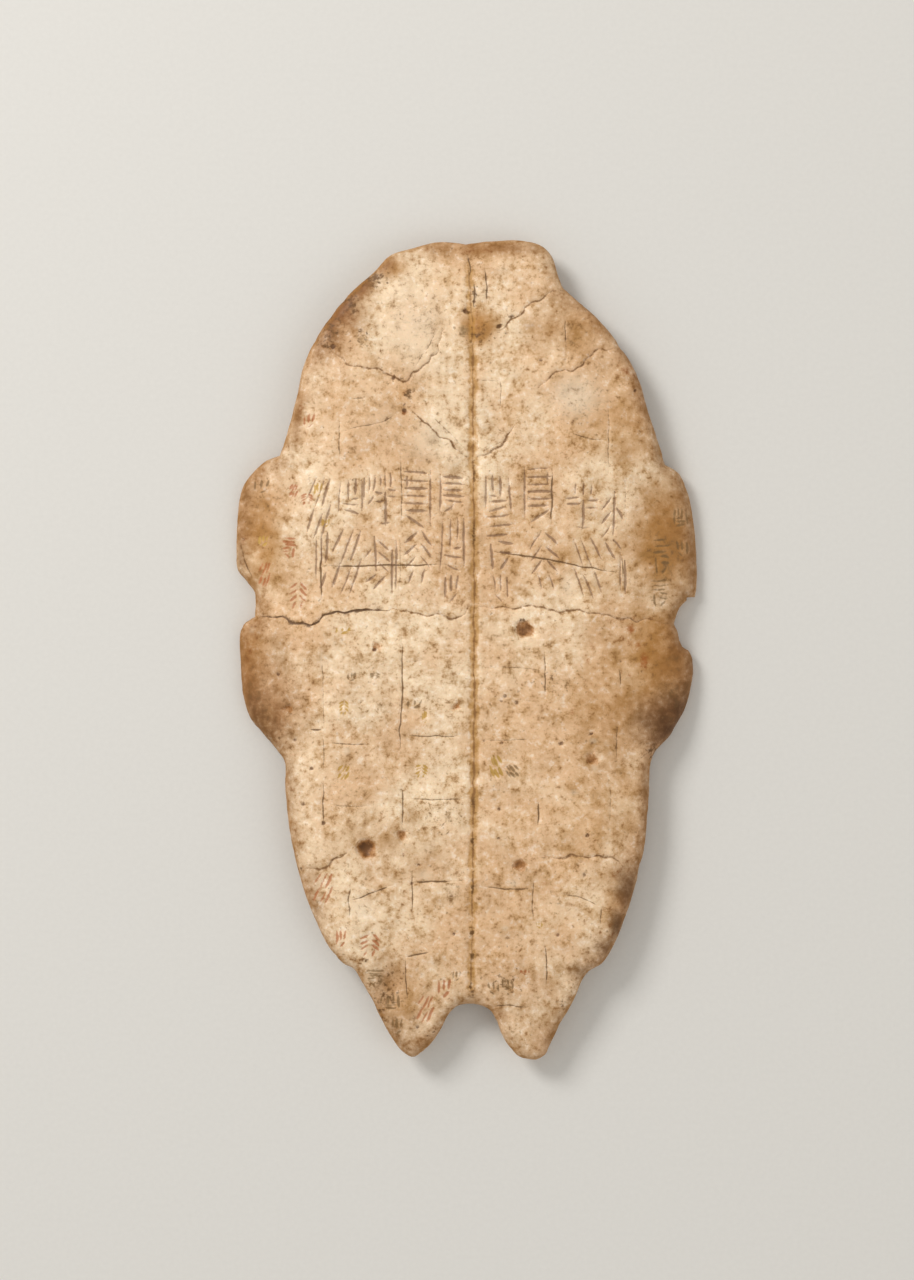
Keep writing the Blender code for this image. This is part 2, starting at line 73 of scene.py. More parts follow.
# %% The drawn outline
OUTLINE = {
    "left_front": (
        (-1.4, 104), (-5.1, 104.5), (-9.5, 104.4), (-15.6, 102.8), (-21, 101), (-24.5, 97.3), (-30.1, 92.3),
        (-37.2, 83.9), (-42.4, 74.4), (-44.8, 64.9), (-46.9, 57), (-49.3, 49.9),
    ),
    "left_front_wing": (
        (-49.3, 49.9), (-52.9, 48.6), (-56.6, 45.3), (-59.1, 41.3), (-60.2, 35.4), (-60.5, 27), (-60.2, 20.6),
        (-57.7, 17.2), (-55.8, 14.9), (-55.6, 11.9), (-55.7, 8.4),
    ),
    "rear": (
        (-55.7, 8.4), (-58.4, 7), (-59.5, 4.7), (-59.4, -3.8), (-58.7, -12), (-56.6, -18.1), (-53.6, -21.7),
        (-49.7, -26.1), (-48.1, -29.1), (-47.7, -35.8), (-46.9, -44), (-45.2, -53), (-43.2, -60.7),
        (-40.2, -68.6), (-36.6, -76), (-33.1, -80), (-30.2, -81.5), (-28.4, -84.2), (-25.1, -90.4),
        (-20.8, -98.6), (-17.8, -102.8), (-15.1, -104.3), (-12.7, -103.1), (-8.7, -98.6), (-5.8, -93.2),
        (-3.5, -91), (-0.3, -90.5), (3.1, -91.2), (5.3, -92.8), (6.9, -96.5), (9.2, -100.9), (12, -104.1),
        (14.6, -105), (16.9, -105), (19, -103.6), (21.8, -97.8), (25.9, -90.1), (28.6, -83.9), (30.6, -81.9),
        (33.3, -80.4), (35.9, -76.7), (39.5, -68.4), (42.5, -58.6), (44.6, -48.6), (45.5, -37.1),
        (45.9, -28.9), (47.2, -25.9), (51.3, -21.6), (54.8, -15.2), (56.6, -8.9), (57.1, -3.3), (55.9, -0.3),
        (54.2, 0.8), (53.2, 4.2), (52, 6.7),
    ),
    "right_notch": (
        (52, 6.7), (53.1, 9.8), (54.3, 11.7), (55.5, 12.8), (55.5, 13.5),
    ),
    "right_step": (
        (55.5, 13.5), (57.6, 13.5),
    ),
    "right_front_wing": (
        (57.6, 13.5), (58.1, 16.5), (58.1, 24.2), (57, 33.9), (55.6, 40.6), (53.3, 45.6), (49.8, 47.7),
    ),
    "right_front": (
        (49.8, 47.7), (47.8, 53.6), (45.2, 61.6), (42.7, 69.9), (37.5, 78.6), (31.8, 85.2), (26.4, 90),
        (23.6, 92.6),
    ),
    "right_gular": (
        (23.6, 92.6), (22.2, 96.1), (20.4, 101.1), (17.7, 103.7), (13.3, 104.9), (5.8, 105), (0.8, 104.5),
        (-1.4, 104),
    ),
}

# %% Smooth curves through drawn points
CURVE_PARTS = 12  # straight parts between two drawn points


def through(points):
    """A smooth curve through drawn points, as many short straight parts (centripetal Catmull-Rom)."""
    points = np.array(points, float)
    if len(points) < 3:
        return points
    ends = (2 * points[:1] - points[1:2], 2 * points[-1:] - points[-2:-1])
    points = np.vstack((ends[0], points, ends[1]))
    knots = np.concatenate(([0], np.cumsum(np.linalg.norm(np.diff(points, axis=0), axis=1) ** 0.5)))
    curve = []
    for i in range(1, len(points) - 2):
        t = np.linspace(knots[i], knots[i + 1], CURVE_PARTS, endpoint=False)[:, None]

        def between(a, b, t_a, t_b, t=t):
            return ((t_b - t) * a + (t - t_a) * b) / (t_b - t_a)

        first = [between(points[j], points[j + 1], knots[j], knots[j + 1]) for j in (i - 1, i, i + 1)]
        second = [between(first[j], first[j + 1], knots[i - 1 + j], knots[i + 1 + j]) for j in (0, 1)]
        curve.append(between(second[0], second[1], knots[i], knots[i + 1]))
    return np.vstack(curve + [points[-2:-1]])


def evenly(curve, step):
    """Points about a step apart along a curve, its two ends among them."""
    along = np.concatenate(([0], np.cumsum(np.linalg.norm(np.diff(curve, axis=0), axis=1))))
    count = max(1, round(along[-1] / step))
    at = np.linspace(0, along[-1], count + 1)
    return np.stack([np.interp(at, along, curve[:, axis]) for axis in (0, 1)], axis=1)


# %% From the drawing to the shell's own plan
drawn = np.vstack([through(stretch) for stretch in OUTLINE.values()])
drawn_low, drawn_high = drawn.min(axis=0), drawn.max(axis=0)
DRAWN_SCALE = np.array((WIDTH, LENGTH)) / (drawn_high - drawn_low)
DRAWN_MIDDLE = (drawn_low + drawn_high) / 2
EDGE_STEP = 0.9 * MM


def place(points):
    """Drawn points, in millimetres, as points of the shell's plan, in metres."""
    return (np.asarray(points, float) - DRAWN_MIDDLE) * DRAWN_SCALE


MIDLINE_X = place((0, 0))[0]
EDGE = np.vstack([evenly(place(through(points)), EDGE_STEP)[:-1] for points in OUTLINE.values()])
print(f"the outline is {len(EDGE)} points")

# %% [markdown]
# ## The form
#
# The shell's middle is level. Towards the wings it bends down to the table, where the wings stand on flats
# ground on their undersides, and it falls a little towards the head and the tail. It is thinner near the
# edge of the lobes and thicker in the wings, and its edge is rounded over. Because this is a rule in plan,
# two short functions give the heights of both faces at any point, with no sculpting.

# %% Sizes of the form
PLATE = 5.0 * MM  # bone in the middle of a plate
LOBE_RIM = 4.0 * MM  # bone near the edge of the lobes
LOBE_RIM_REACH = 12 * MM
WING_PLATE = 6.2 * MM
EDGE_ROUND = 2.6 * MM  # how far in from the outline the edge rounds over
FLAT_HALF = 24 * MM  # half-width of the level middle
WING_DROP = 8.6 * MM
FOOT_GRIND = 1.6 * MM  # ground off the underside of the wings
HEAD_LEVEL, HEAD_DROP = 45 * MM, 3.5 * MM
TAIL_LEVEL, TAIL_DROP = 40 * MM, 3.0 * MM
SAME_PLACE = 1e-6


# %% How far points are from lines, and inside the outline
def distance_to(points, starts, ends, at_once=2000):
    """The distance of each point to the nearest of the straight parts, some points at a time."""
    run = ends - starts
    found = []
    for first in range(0, len(points), at_once):
        offset = points[first : first + at_once, None, :] - starts
        share = np.clip((offset * run).sum(axis=2) / (run * run).sum(axis=1), 0, 1)
        away = offset - share[..., None] * run
        found.append(np.sqrt((away * away).sum(axis=2).min(axis=1)))
    return np.concatenate(found)


def inside_by(points):
    """How far each point is from the outline."""
    return distance_to(points, EDGE, np.roll(EDGE, -1, axis=0))


def within_outline(points):
    """Whether each point is inside the outline, by counting the edges to its right."""
    a, b = EDGE, np.roll(EDGE, -1, axis=0)
    rise = np.where(b[:, 1] == a[:, 1], 1.0, b[:, 1] - a[:, 1])
    x, y = points[:, :1], points[:, 1:]
    crossing = a[:, 0] + (y - a[:, 1]) * (b[:, 0] - a[:, 0]) / rise
    return (((a[:, 1] > y) != (b[:, 1] > y)) & (x < crossing)).sum(axis=1) % 2 == 1


def deeper_in(points, reach):
    """Whether each point is inside the outline, and further from it than reach."""
    return (inside_by(points) > reach) & within_outline(points)


# %% The heights of the two faces
def smooth(share):
    share = np.clip(share, 0, 1)
    return share * share * (3 - 2 * share)


def bend_run(side):
    """How far the fall of the wing on one side (-1 left, 1 right) takes in plan."""
    return (side * (EDGE[:, 0] - MIDLINE_X)).max() - EDGE_ROUND - FLAT_HALF


def plate_faces(points, inside):
    """The heights of the inner and outer face before the edge is rounded."""
    x, y = points[:, 0], points[:, 1]
    run = np.where(x < MIDLINE_X, bend_run(-1), bend_run(1))
    bend = np.clip((np.abs(x - MIDLINE_X) - FLAT_HALF) / run, 0, None)
    head = np.clip((y - HEAD_LEVEL) / (LENGTH / 2 - HEAD_LEVEL), 0, None)
    tail = np.clip((-y - TAIL_LEVEL) / (LENGTH / 2 - TAIL_LEVEL), 0, None)
    inner = WING_DROP * (1 - bend**2) - FOOT_GRIND - HEAD_DROP * head**2 - TAIL_DROP * tail**2
    bend = np.minimum(bend, 1)
    rim = (1 - smooth(inside / LOBE_RIM_REACH)) * (1 - bend)
    thickness = PLATE - (PLATE - LOBE_RIM) * rim + (WING_PLATE - PLATE) * bend
    return np.maximum(inner, 0), inner + thickness


def rounded_face(points, inside, side):
    """The height of one face (1 outer, -1 inner). The two meet on the outline."""
    inner, outer = plate_faces(points, inside)
    share = np.clip((inside - SAME_PLACE) / EDGE_ROUND, 0, 1)
    return (inner + outer) / 2 + side * (outer - inner) / 2 * np.sqrt(1 - (1 - share) ** 2)


# %% [markdown]
# ## What is cut into the shell
#
# The outer face carries the seams between the nine bony plates, one of which has opened into a crack,
# hairline cracks from the heating, rows of short strokes, worm pits and pores. The strokes stand where an
# inscription stood but are plain marks that spell nothing. The inner face carries the hollows: a chiselled
# boat-shaped slot with a drilled round pit beside it, in rows.
#
# Every one of these is the same thing to the computer: a line with a width and a depth at each of its
# points. So each is kept as that, together with the rows of points beside it that the triangles follow.

# %% The drawn seams, cracks and pits
MIDLINE = (
    (-0.9, 98.5), (-0.3, 89.8), (0.3, 77), (0.3, 59), (0.6, 30), (0.6, -10), (0.3, -51.2), (-0.2, -86.5),
)

# The seam between the middle plates, which has opened on the left
OPEN_CRACK = (
    (-54, 8.3), (-48.4, 8.3), (-46.1, 7), (-43.1, 6.7), (-39.7, 7), (-37.2, 8.8), (-32.5, 9.8), (-27.2, 10.3),
    (-19, 10.1),
)

# The seams that are still closed
SEAMS = {
    "middle_left": (
        (-19, 10.1), (-13.3, 9.3), (-8.2, 9.3), (-5.9, 8.3), (-2.8, 8.5), (-0.5, 10.6),
    ),
    "middle_right": (
        (1, 10.8), (12.3, 10.6), (24.1, 10.1), (35.9, 8.5), (42, 7.5), (50.5, 6.8),
    ),
    "head_left": (
        (-38.2, 78.2), (-35.9, 77.2), (-31.5, 72.9), (-29.2, 71.8), (-25.9, 71.8), (-20.2, 69.5),
        (-17.4, 68.8), (-15.1, 70), (-9.7, 75.9), (-8.2, 79.3), (-6.7, 81.6),
    ),
    "head_right": (
        (36, 76.4), (32, 76.2), (30, 75.2), (27.9, 72.6), (24.9, 71.3), (21.3, 70.6), (17.2, 66.7),
    ),
    "gular_right": (
        (21, 91.8), (14.6, 88.2), (11, 84.7), (6.7, 81.1),
    ),
    "centre_plate_left": (
        (-16.1, 62.1), (-12.3, 58.3), (-8.2, 54.7), (-4.4, 51.3), (-0.9, 49),
    ),
    "centre_plate_right": (
        (1.5, 49), (4.9, 50.8), (8.2, 53.1), (11.3, 56.5),
    ),
    "tail_left": (
        (-42, -55.7), (-37.7, -55.3), (-35.1, -53.2), (-32, -51.3),
    ),
    "tail_right": (
        (18.7, -52.7), (28.4, -52.7), (32.8, -52.7), (35.9, -53.7), (39.5, -55.9),
    ),
}

# Chips and worm pits of the outer face: plan place and radius
PITS = (
    (-26.9, -50.7, 3), (-17.9, -47.3, 1.5), (13.6, 5.2, 2.6), (12, -54.8, 1.9), (30.8, -28.1, 1.7),
    (-46.6, -15, 1.4), (-24.3, 0.6, 1.3), (-3.8, -14.5, 1.2),
)

# Hairline cracks: strength, then points
HAIRLINES = (
    (0.6, (-33.8, 59.8), (-33.8, 53.9), (-33.6, 48.3)),
    (0.5, (-33.6, 55.7), (-28.2, 57), (-22.3, 58.3), (-18.5, 61.1)),
    (0.6, (-18.2, 50.8), (-17.9, 41.1), (-17.9, 30.8)), (1, (-38.2, 28.3), (-38.4, 20.1), (-38.4, 11.6)),
    (1, (-38.2, 21.1), (-25.6, 21.6), (-15.9, 21.6), (-5.6, 21.9)),
    (0.35, (-18.5, 30.8), (-18.2, 21.9), (-18.7, 12.9)), (0.45, (-38.2, 0.1), (-37.9, -10.2), (-37.4, -21.7)),
    (0.6, (-37.9, -21.7), (-37.7, -25.6), (-37.9, -30.2)),
    (0.8, (-37.7, -33.2), (-37.9, -38.4), (-37.7, -44.8)),
    (1, (-41.3, -20.2), (-39.7, -20.4), (-38.2, -20.2)),
    (0.9, (-17.7, 3.4), (-17.7, -5), (-17.7, -12.7), (-18.2, -20.4), (-18.2, -27.3)),
    (0.8, (-17.7, -34.5), (-17.4, -39.6), (-17.9, -46.1)),
    (0.7, (-36.4, -23.8), (-31.3, -24), (-25.6, -24.3)), (0.7, (-17.2, -21.7), (-10.8, -22), (-1.8, -21.7)),
    (0.5, (-35.9, -39.6), (-31.3, -39.9), (-26.1, -39.9)), (0.6, (-17.2, -37.9), (-8.2, -38.1), (-1, -37.9)),
    (0.4, (-17.2, -3), (-12, -2.7)), (0.7, (-30.8, -59.4), (-31.3, -64), (-31, -69.6)),
    (0.8, (-30.8, -63.7), (-28.2, -63), (-24.9, -61.7), (-20.2, -59.9)),
    (0.8, (-15.1, -56.3), (-15.1, -61.4), (-15.1, -67.1)), (1, (-15.1, -59.4), (-10.8, -59.1), (-5.1, -58.9)),
    (0.35, (-5.1, -58.9), (-0.5, -58.6)), (0.7, (-16.9, -78.1), (-16.9, -83.2), (-16.4, -89.6)),
    (0.9, (-17.2, -78.4), (-13.8, -77.6), (-10.5, -77.1)),
    (0.7, (-60, 30.3), (-58.9, 24.9), (-57.7, 21.3), (-55.6, 17.2)),
    (0.35, (-14.6, 62.9), (-6.9, 56.5), (-0.5, 50.1)), (0.6, (-30.8, 63.9), (-26.9, 64.4)),
    (0.4, (-36.7, -54.8), (-34.9, -53), (-32, -51.7)), (0.6, (35.1, 63.1), (34.9, 53.9), (34.9, 44.9)),
    (0.6, (34.6, 53.6), (30.2, 53.9), (25.1, 55.4)), (1, (20.5, 46.2), (20.5, 39), (20.2, 32.1)),
    (0.7, (38.4, 24.2), (38.7, 18)), (1, (38.4, 19.6), (30.2, 20.8), (20.5, 22.9), (10.5, 24.4), (4.1, 25.5)),
    (0.4, (39.5, 44.2), (39.2, 38.5), (39.5, 32.1)), (0.8, (18.7, 0.1), (18.7, -6.3), (18.7, -12.7)),
    (0.4, (3.6, -4.5), (11, -4.5), (18.7, -5.6)), (0.7, (37.9, -5), (37.9, -9.7)),
    (0.6, (37.2, -18.4), (36.9, -23), (36.9, -28.1)), (1, (16.9, -38.4), (16.9, -44.8)),
    (0.5, (2.6, -23), (9.7, -23), (17.4, -22.7)), (0.7, (2.8, -60.4), (9.7, -60.9), (15.6, -60.9)),
    (0.6, (16.1, -57.6), (15.6, -64), (15.9, -69.6)), (0.6, (22.6, -62.2), (27.7, -63.2), (32.8, -65.3)),
    (0.6, (33.1, -65.3), (32.8, -70.4)), (0.8, (18.7, -74.3), (19, -79.4), (19, -85.8)),
    (0.9, (23.8, 83.4), (23.8, 78.2)), (0.35, (23.8, 87.2), (24.1, 78.2), (23.8, 70.6)),
    (0.6, (7.2, 69.3), (7.4, 65.4), (7.2, 61.6)), (0.5, (1.5, 68.8), (7.2, 68.5)),
    (0.4, (2.1, 50.1), (5.1, 51.8), (8.5, 53.9)), (1, (0.5, 94.1), (0.8, 90.6), (0.5, 87.2)),
    (0.8, (-1, 101.3), (-0.5, 98), (-0.5, 94.9)), (0.9, (3.3, 97.5), (3.8, 92.9), (3.8, 88.5)),
    (0.7, (4.1, -91.2), (9.2, -90.9), (14.9, -91.4)), (0.4, (35.4, -33.8), (35.4, -39.6), (35.1, -44.8)),
    (0.4, (-15.4, 70.6), (-11.8, 76.5), (-8.2, 82.1)), (0.4, (16.9, -53), (20, -53), (22.6, -53)),
    (0.4, (27.9, -52.5), (32.8, -52.2), (37.4, -53.7)),
)

# Small pores: plan place and radius
PORES = (
    (3.3, -23.2, 0.5), (7.7, -23.8, 0.5), (23.1, -23.8, 0.7), (8.5, -11.7, 0.6), (7.7, -13, 0.5),
    (11.3, -13.3, 0.6), (-15.1, -59.4, 0.6), (27.7, -54.3, 0.4), (20.2, 1.4, 0.4), (-49.5, -6.1, 0.7),
    (-24.9, 0.1, 0.7), (-45.1, -23, 0.6), (-40.8, -30.2, 0.6), (-42.8, -39.6, 0.5), (-17.4, -52.2, 0.5),
    (-13.6, -54.8, 0.6), (-4.6, -72.5, 0.6), (6.9, -48.1, 0.6), (6.9, -40.7, 0.6), (29.5, -47.3, 0.8),
    (28.7, -57.3, 0.6), (22, -72.7, 0.6), (30.5, -21.2, 0.7), (-28.2, -13.5, 0.4), (-35.4, 77.5, 0.8),
    (-20, 69.3, 0.7), (7.2, 82.6, 0.6), (10.5, 85.2, 0.6), (8.5, 80.8, 0.5), (17.7, 73.9, 0.6),
    (41.8, 66.2, 0.6), (-1.5, 86.4, 0.9), (37.9, -3, 0.5), (14.9, 0.1, 0.4), (-5.1, -62.7, 0.5),
    (-13.8, -96.3, 0.6), (-37.7, -44, 0.7), (-17.2, 61.1, 0.8), (-54.8, 10.8, 0.6), (-58.7, 28.3, 0.6),
)

# %% The drawn rows of strokes
# The inscription: groups of short strokes as kind, plan place, width and height
STROKE_GROUPS = (
    ("posts", 6.9, 39.8, 7, 9.4), ("ladder", 17.1, 39.6, 7.6, 14), ("beam", 28.2, 36.8, 8.4, 12),
    ("feather", 35.8, 31.8, 5.4, 17), ("tiers", 7.2, 27.6, 7, 14), ("chevrons", 18.5, 22.8, 7.4, 14.4),
    ("slashes", 29.4, 20.8, 7.8, 15.4), ("single", 38.4, 19.6, 2.4, 10.4), ("ticks", 7.3, 15.7, 4.4, 6.8),
    ("comb", -4.9, 40, 6.4, 9.4), ("ladder", -14.1, 38.4, 7.8, 14.6), ("beam", -21.8, 38.6, 5.4, 13.6),
    ("ticks", -26, 40.8, 3.4, 7.4), ("posts", -31, 39, 6.6, 9), ("slashes", -38.9, 36.2, 6.4, 15.4),
    ("posts", -5, 26.8, 6.6, 14), ("chevrons", -13.6, 23.6, 7.4, 13.2), ("single", -19.6, 21.2, 2, 13.4),
    ("feather", -24, 22.2, 6.4, 13.4), ("slashes", -31.8, 22.4, 8, 16.4), ("ticks", -38.2, 23, 3.6, 14.6),
    ("ticks", -5.1, 15.7, 4, 6.6),
)

# Small marks rubbed with pigment, of the same kinds of strokes
PIGMENTED = {
    "red": (
        ("ticks", -41.5, 58.5, 3.1, 3.6), ("slashes", -45.4, 40.6, 2.3, 3.3),
        ("chevrons", -42, 38.5, 3.1, 2.6), ("tiers", -46.6, 26.2, 3.6, 5.1),
        ("slashes", -53.1, 19.3, 3.1, 6.2), ("chevrons", -44.3, 13.9, 4.6, 6.7),
        ("slashes", -37.9, -60.9, 5.1, 7.9), ("ticks", -33.3, -73.5, 2.8, 4.4),
        ("chevrons", -25.9, -75.3, 5.1, 5.6), ("ticks", -6.9, -86.3, 3.6, 4.6),
        ("slashes", -11.8, -91.7, 4.4, 6.7), ("ticks", 13.6, -82.2, 2.6, 1.3),
    ),
    "ochre": (
        ("ticks", -39.2, 40.8, 2.3, 3.6), ("ticks", -37.2, 32.4, 2.1, 2.1), ("ticks", -53.3, 28, 2.6, 2.6),
        ("slashes", -32.6, -31.2, 3.1, 3.6), ("chevrons", -12.8, -30.9, 3.3, 3.3),
        ("slashes", 6.2, -29.7, 3.3, 5.6), ("chevrons", -32.6, -14.8, 2.6, 3.6),
        ("ticks", -32.8, 4.9, 4.1, 1.5), ("ticks", -12, -17.1, 1.3, 3.1), ("ticks", 17.2, -70.1, 1.5, 1.5),
    ),
    "grime": (
        ("ticks", -53.8, 41.9, 4.6, 3.2), ("tiers", 48.6, 24, 4.4, 9), ("posts", 53.8, 34, 3.8, 4.6),
        ("tiers", 48.2, 14.6, 4.6, 6.7), ("ticks", 54, 26, 3.3, 4), ("slashes", 10.3, -30.9, 3.6, 3.1),
        ("ticks", -14.4, -13.8, 4.1, 2.1), ("ticks", -30.5, -6.8, 2.1, 2.1),
        ("chevrons", -24.6, -6.6, 2.6, 1.5), ("tiers", -24.6, -83.7, 4.4, 3.8),
        ("posts", -21, -89.9, 5.1, 3.6), ("ticks", -19, -96.3, 3.1, 4.6), ("ticks", 5.6, -86.3, 3.1, 3.1),
        ("posts", 9.2, -85.3, 2.6, 2.6), ("ticks", -3.8, -83.2, 2.1, 2.6),
    ),
}

# The strokes of each kind, in a square from -100 to 100. They keep clear of each other and spell nothing.
STROKES = {
    "posts": (
        (-92, 95, -94, -78), (-44, 100, -40, 10), (10, 92, 12, -16), (72, 84, 92, -95), (-68, -10, -16, -14),
        (-66, -46, 56, -38), (-64, -96, 44, -72),
    ),
    "comb": (
        (95, 100, 98, -100), (-84, 78, 70, 88), (-95, 46, 72, 52), (-80, 14, 70, 18), (-92, -18, 68, -14),
        (-84, -52, 50, -40), (-10, -66, 60, -100),
    ),
    "slashes": (
        (-86, 96, -24, 6), (-42, 100, 40, -6), (22, 100, 92, 32), (-92, 10, -20, -96), (-26, -20, 42, -100),
        (44, -4, 95, -78),
    ),
    "feather": (
        (25, 100, 12, -30), (-6, 84, -95, 46), (-10, 40, -100, 4), (-12, 0, -92, -36), (46, 52, 98, 20),
        (10, -44, 90, -72), (-60, -52, 30, -100),
    ),
    "tiers": (
        (-95, 88, 66, 98), (-70, 54, 95, 62), (-92, 20, 56, 26), (-66, -10, -52, -100), (-6, 0, 95, -8),
        (0, -36, 90, -42), (56, -62, 6, -100),
    ),
    "chevrons": (
        (-24, 100, -95, 42), (10, 96, 94, 56), (-20, 52, -90, -2), (14, 48, 98, 10), (-16, 4, -84, -46),
        (20, 2, 90, -40), (-44, -46, -20, -100), (34, -52, 66, -100),
    ),
    "ticks": (
        (-82, 95, -56, -10), (4, 98, 10, -20), (78, 80, 86, -66), (-60, -44, 20, -100),
    ),
    "ladder": (
        (-95, 100, -92, -90), (-70, 90, 80, 96), (-74, 62, 94, 66), (-72, 36, 72, 38), (-70, 10, 92, 12),
        (-74, -16, 90, -14), (-70, -42, 64, -40), (70, -56, -50, -100), (62, 80, 60, 44),
    ),
    "beam": (
        (10, 100, 6, 38), (6, 22, 2, -100), (-100, 30, -20, 34), (34, 20, 100, 24), (-40, 94, -44, 44),
        (56, 86, 52, 46), (-92, 6, -14, 8), (24, -10, 94, -12), (-34, -92, 40, -96),
    ),
    "single": (
        (-40, 100, -30, -84), (60, 62, 66, -100),
    ),
}

# %% One cut: points with half-widths and depths, and the rows that the triangles follow
CUT_STEP = 0.5 * MM
TAPER_RUN = 0.25  # share of a cut over which each of its ends tapers
DRIFT_REACH = 4  # a drift is evened out over so many points to each side
random = np.random.default_rng(11)


def directions(points):
    """At each point of a curve, the direction along it and the one to its left."""
    along = np.gradient(points, axis=0)
    along /= np.linalg.norm(along, axis=1)[:, None]
    return along, np.stack((-along[:, 1], along[:, 0]), axis=1)


def wandering(points, far):
    """The points moved a little to the side, as a cut or a crack wanders."""
    drift = random.normal(size=len(points) + 2 * DRIFT_REACH)
    drift = np.convolve(drift, np.hanning(2 * DRIFT_REACH + 1), "same")[DRIFT_REACH:-DRIFT_REACH]
    return points + directions(points)[1] * (drift * far)[:, None]


def loop_beside(points, half):
    """A closed line around a cut, as far to its sides as half says."""
    along, left = directions(points)
    side = left * half[:, None]
    tips = points[:1] - along[:1] * half[0], points[-1:] + along[-1:] * half[-1]
    return np.vstack((tips[0], points + side, tips[1], (points - side)[::-1], tips[0]))


def line_cut(drawn_points, width, depth, shares=(0.5, 1.0), taper=0.7, wander=0.0):
    """A cut along a drawn curve. Its width may be one value or values along it. Its ends taper off."""
    points = wandering(evenly(place(through(drawn_points)), CUT_STEP), wander)
    t = np.linspace(0, 1, len(points))
    width = np.interp(t, np.linspace(0, 1, np.size(width)), np.ravel(width))
    fade = 1 - taper * (1 - smooth(np.minimum(t, 1 - t) / TAPER_RUN))
    half = width / 2 * fade
    return points, half, depth * fade, [points] + [loop_beside(points, half * share) for share in shares]


# %% Seams, the open crack and the hairlines
MIDLINE_WIDTH, MIDLINE_DEPTH = 2.9 * MM, 0.38 * MM
THREAD_WIDTH, THREAD_DEPTH = 1.0 * MM, 0.28 * MM  # the dark suture in the midline's bottom
SEAM_WIDTH, SEAM_DEPTH = 1.0 * MM, 0.32 * MM
CRACK_WIDTHS = np.array((0.5, 0.55, 0.8, 0.55, 0.75, 0.55, 0.75, 0.5, 0.4)) * MM
CRACK_DEPTH = 0.42 * MM
HAIR_WIDTH, HAIR_DEPTH = 0.7 * MM, 0.24 * MM

cuts = {
    "midline": [
        line_cut(MIDLINE, MIDLINE_WIDTH, MIDLINE_DEPTH, (0.4, 0.7, 1.0), taper=0.15, wander=0.05 * MM)
    ],
    "thread": [line_cut(MIDLINE, THREAD_WIDTH, THREAD_DEPTH, (1.0,), taper=0.2, wander=0.07 * MM)],
    "seam": [
        line_cut(seam, SEAM_WIDTH, SEAM_DEPTH, taper=0.4, wander=0.16 * MM) for seam in SEAMS.values()
    ],
    "crack": [line_cut(OPEN_CRACK, CRACK_WIDTHS, CRACK_DEPTH, taper=0.3, wander=0.12 * MM)],
    "hair": [
        line_cut(hair, HAIR_WIDTH * (0.5 + strength / 2), HAIR_DEPTH * strength, (1.0,), wander=0.05 * MM)
        for strength, *hair in HAIRLINES
    ],
}


# %% Rows of strokes
STROKE_WIDTH, STROKE_DEPTH = 0.95 * MM, 0.28 * MM
PIGMENT_WIDTH, PIGMENT_DEPTH = 0.95 * MM, 0.12 * MM
STROKE_TAPER = 0.35
STROKE_SIZES = (0.8, 1.15)  # width and depth of a stroke vary between these shares
BOW = 0.14  # most sideways bow of a stroke, in millimetres


def stroke_cuts(groups, width, depth):
    """The strokes of some groups. Groups left of the midline are turned over."""
    found = []
    for kind, x, y, across, tall in groups:
        half = np.array((math.copysign(across / 2, x), tall / 2))
        for stroke in STROKES[kind]:
            start, end = np.array(stroke).reshape(2, 2) / 100 * half + (x, y)
            middle = (start + end) / 2 + random.uniform(-BOW, BOW, 2)
            size = random.uniform(*STROKE_SIZES)
            curve = (start, middle, end)
            found.append(line_cut(curve, width * size, depth * size, taper=STROKE_TAPER))
    return found


cuts["stroke"] = stroke_cuts(STROKE_GROUPS, STROKE_WIDTH, STROKE_DEPTH)
for pigment, groups in PIGMENTED.items():
    cuts[pigment] = stroke_cuts(groups, PIGMENT_WIDTH, PIGMENT_DEPTH)


# %% Pits, pores and the hollows of the inner face
PIT_SHARE, PORE_SHARE = 0.65, 0.6  # depth of a pit and of a pore as shares of their radius
SLOT_LENGTH, SLOT_WIDTH, SLOT_WEB = 12.5 * MM, 4.6 * MM, 1.8 * MM
DRILL_RADIUS, DRILL_WEB, DRILL_OFFSET = 3.6 * MM, 2.3 * MM, 3.6 * MM
HOLLOW_COLUMNS = (17.5 * MM, 36.5 * MM, 49.0 * MM)
HOLLOW_PITCH, HOLLOW_FIRST_ROW, HOLLOW_MARGIN = 20 * MM, 24 * MM, 1.4 * MM
SLOT_POINTS, KEEL_SHARE = 25, 0.45  # the keel is the level share of a slot's length
POINT = np.array(((-0.05 * MM, 0), (0.05 * MM, 0)))  # a round cut is a very short line


def round_cut(centre, radius, depth, sides=20, shares=(0.25, 0.5, 0.75, 1.0)):
    turn = np.linspace(0, 2 * math.pi, sides + 1)
    rings = [centre + np.stack((np.cos(turn), np.sin(turn)), axis=1) * radius * share for share in shares]
    return POINT + centre, np.full(2, radius), np.full(2, depth), rings


def slot_cut(centre, depth):
    """A boat-shaped slot: widest in its middle, with a keel along it."""
    t = np.linspace(-1, 1, SLOT_POINTS)
    points = centre + np.stack((0 * t, t * SLOT_LENGTH / 2), axis=1)
    half = SLOT_WIDTH / 2 * np.sqrt(np.maximum(1 - t * t, 0.001))
    loops = [loop_beside(points, half * share) for share in (0.35, 0.7, 1.0)]
    return points, half, depth * smooth((1 - np.abs(t)) / (1 - KEEL_SHARE)), [points] + loops


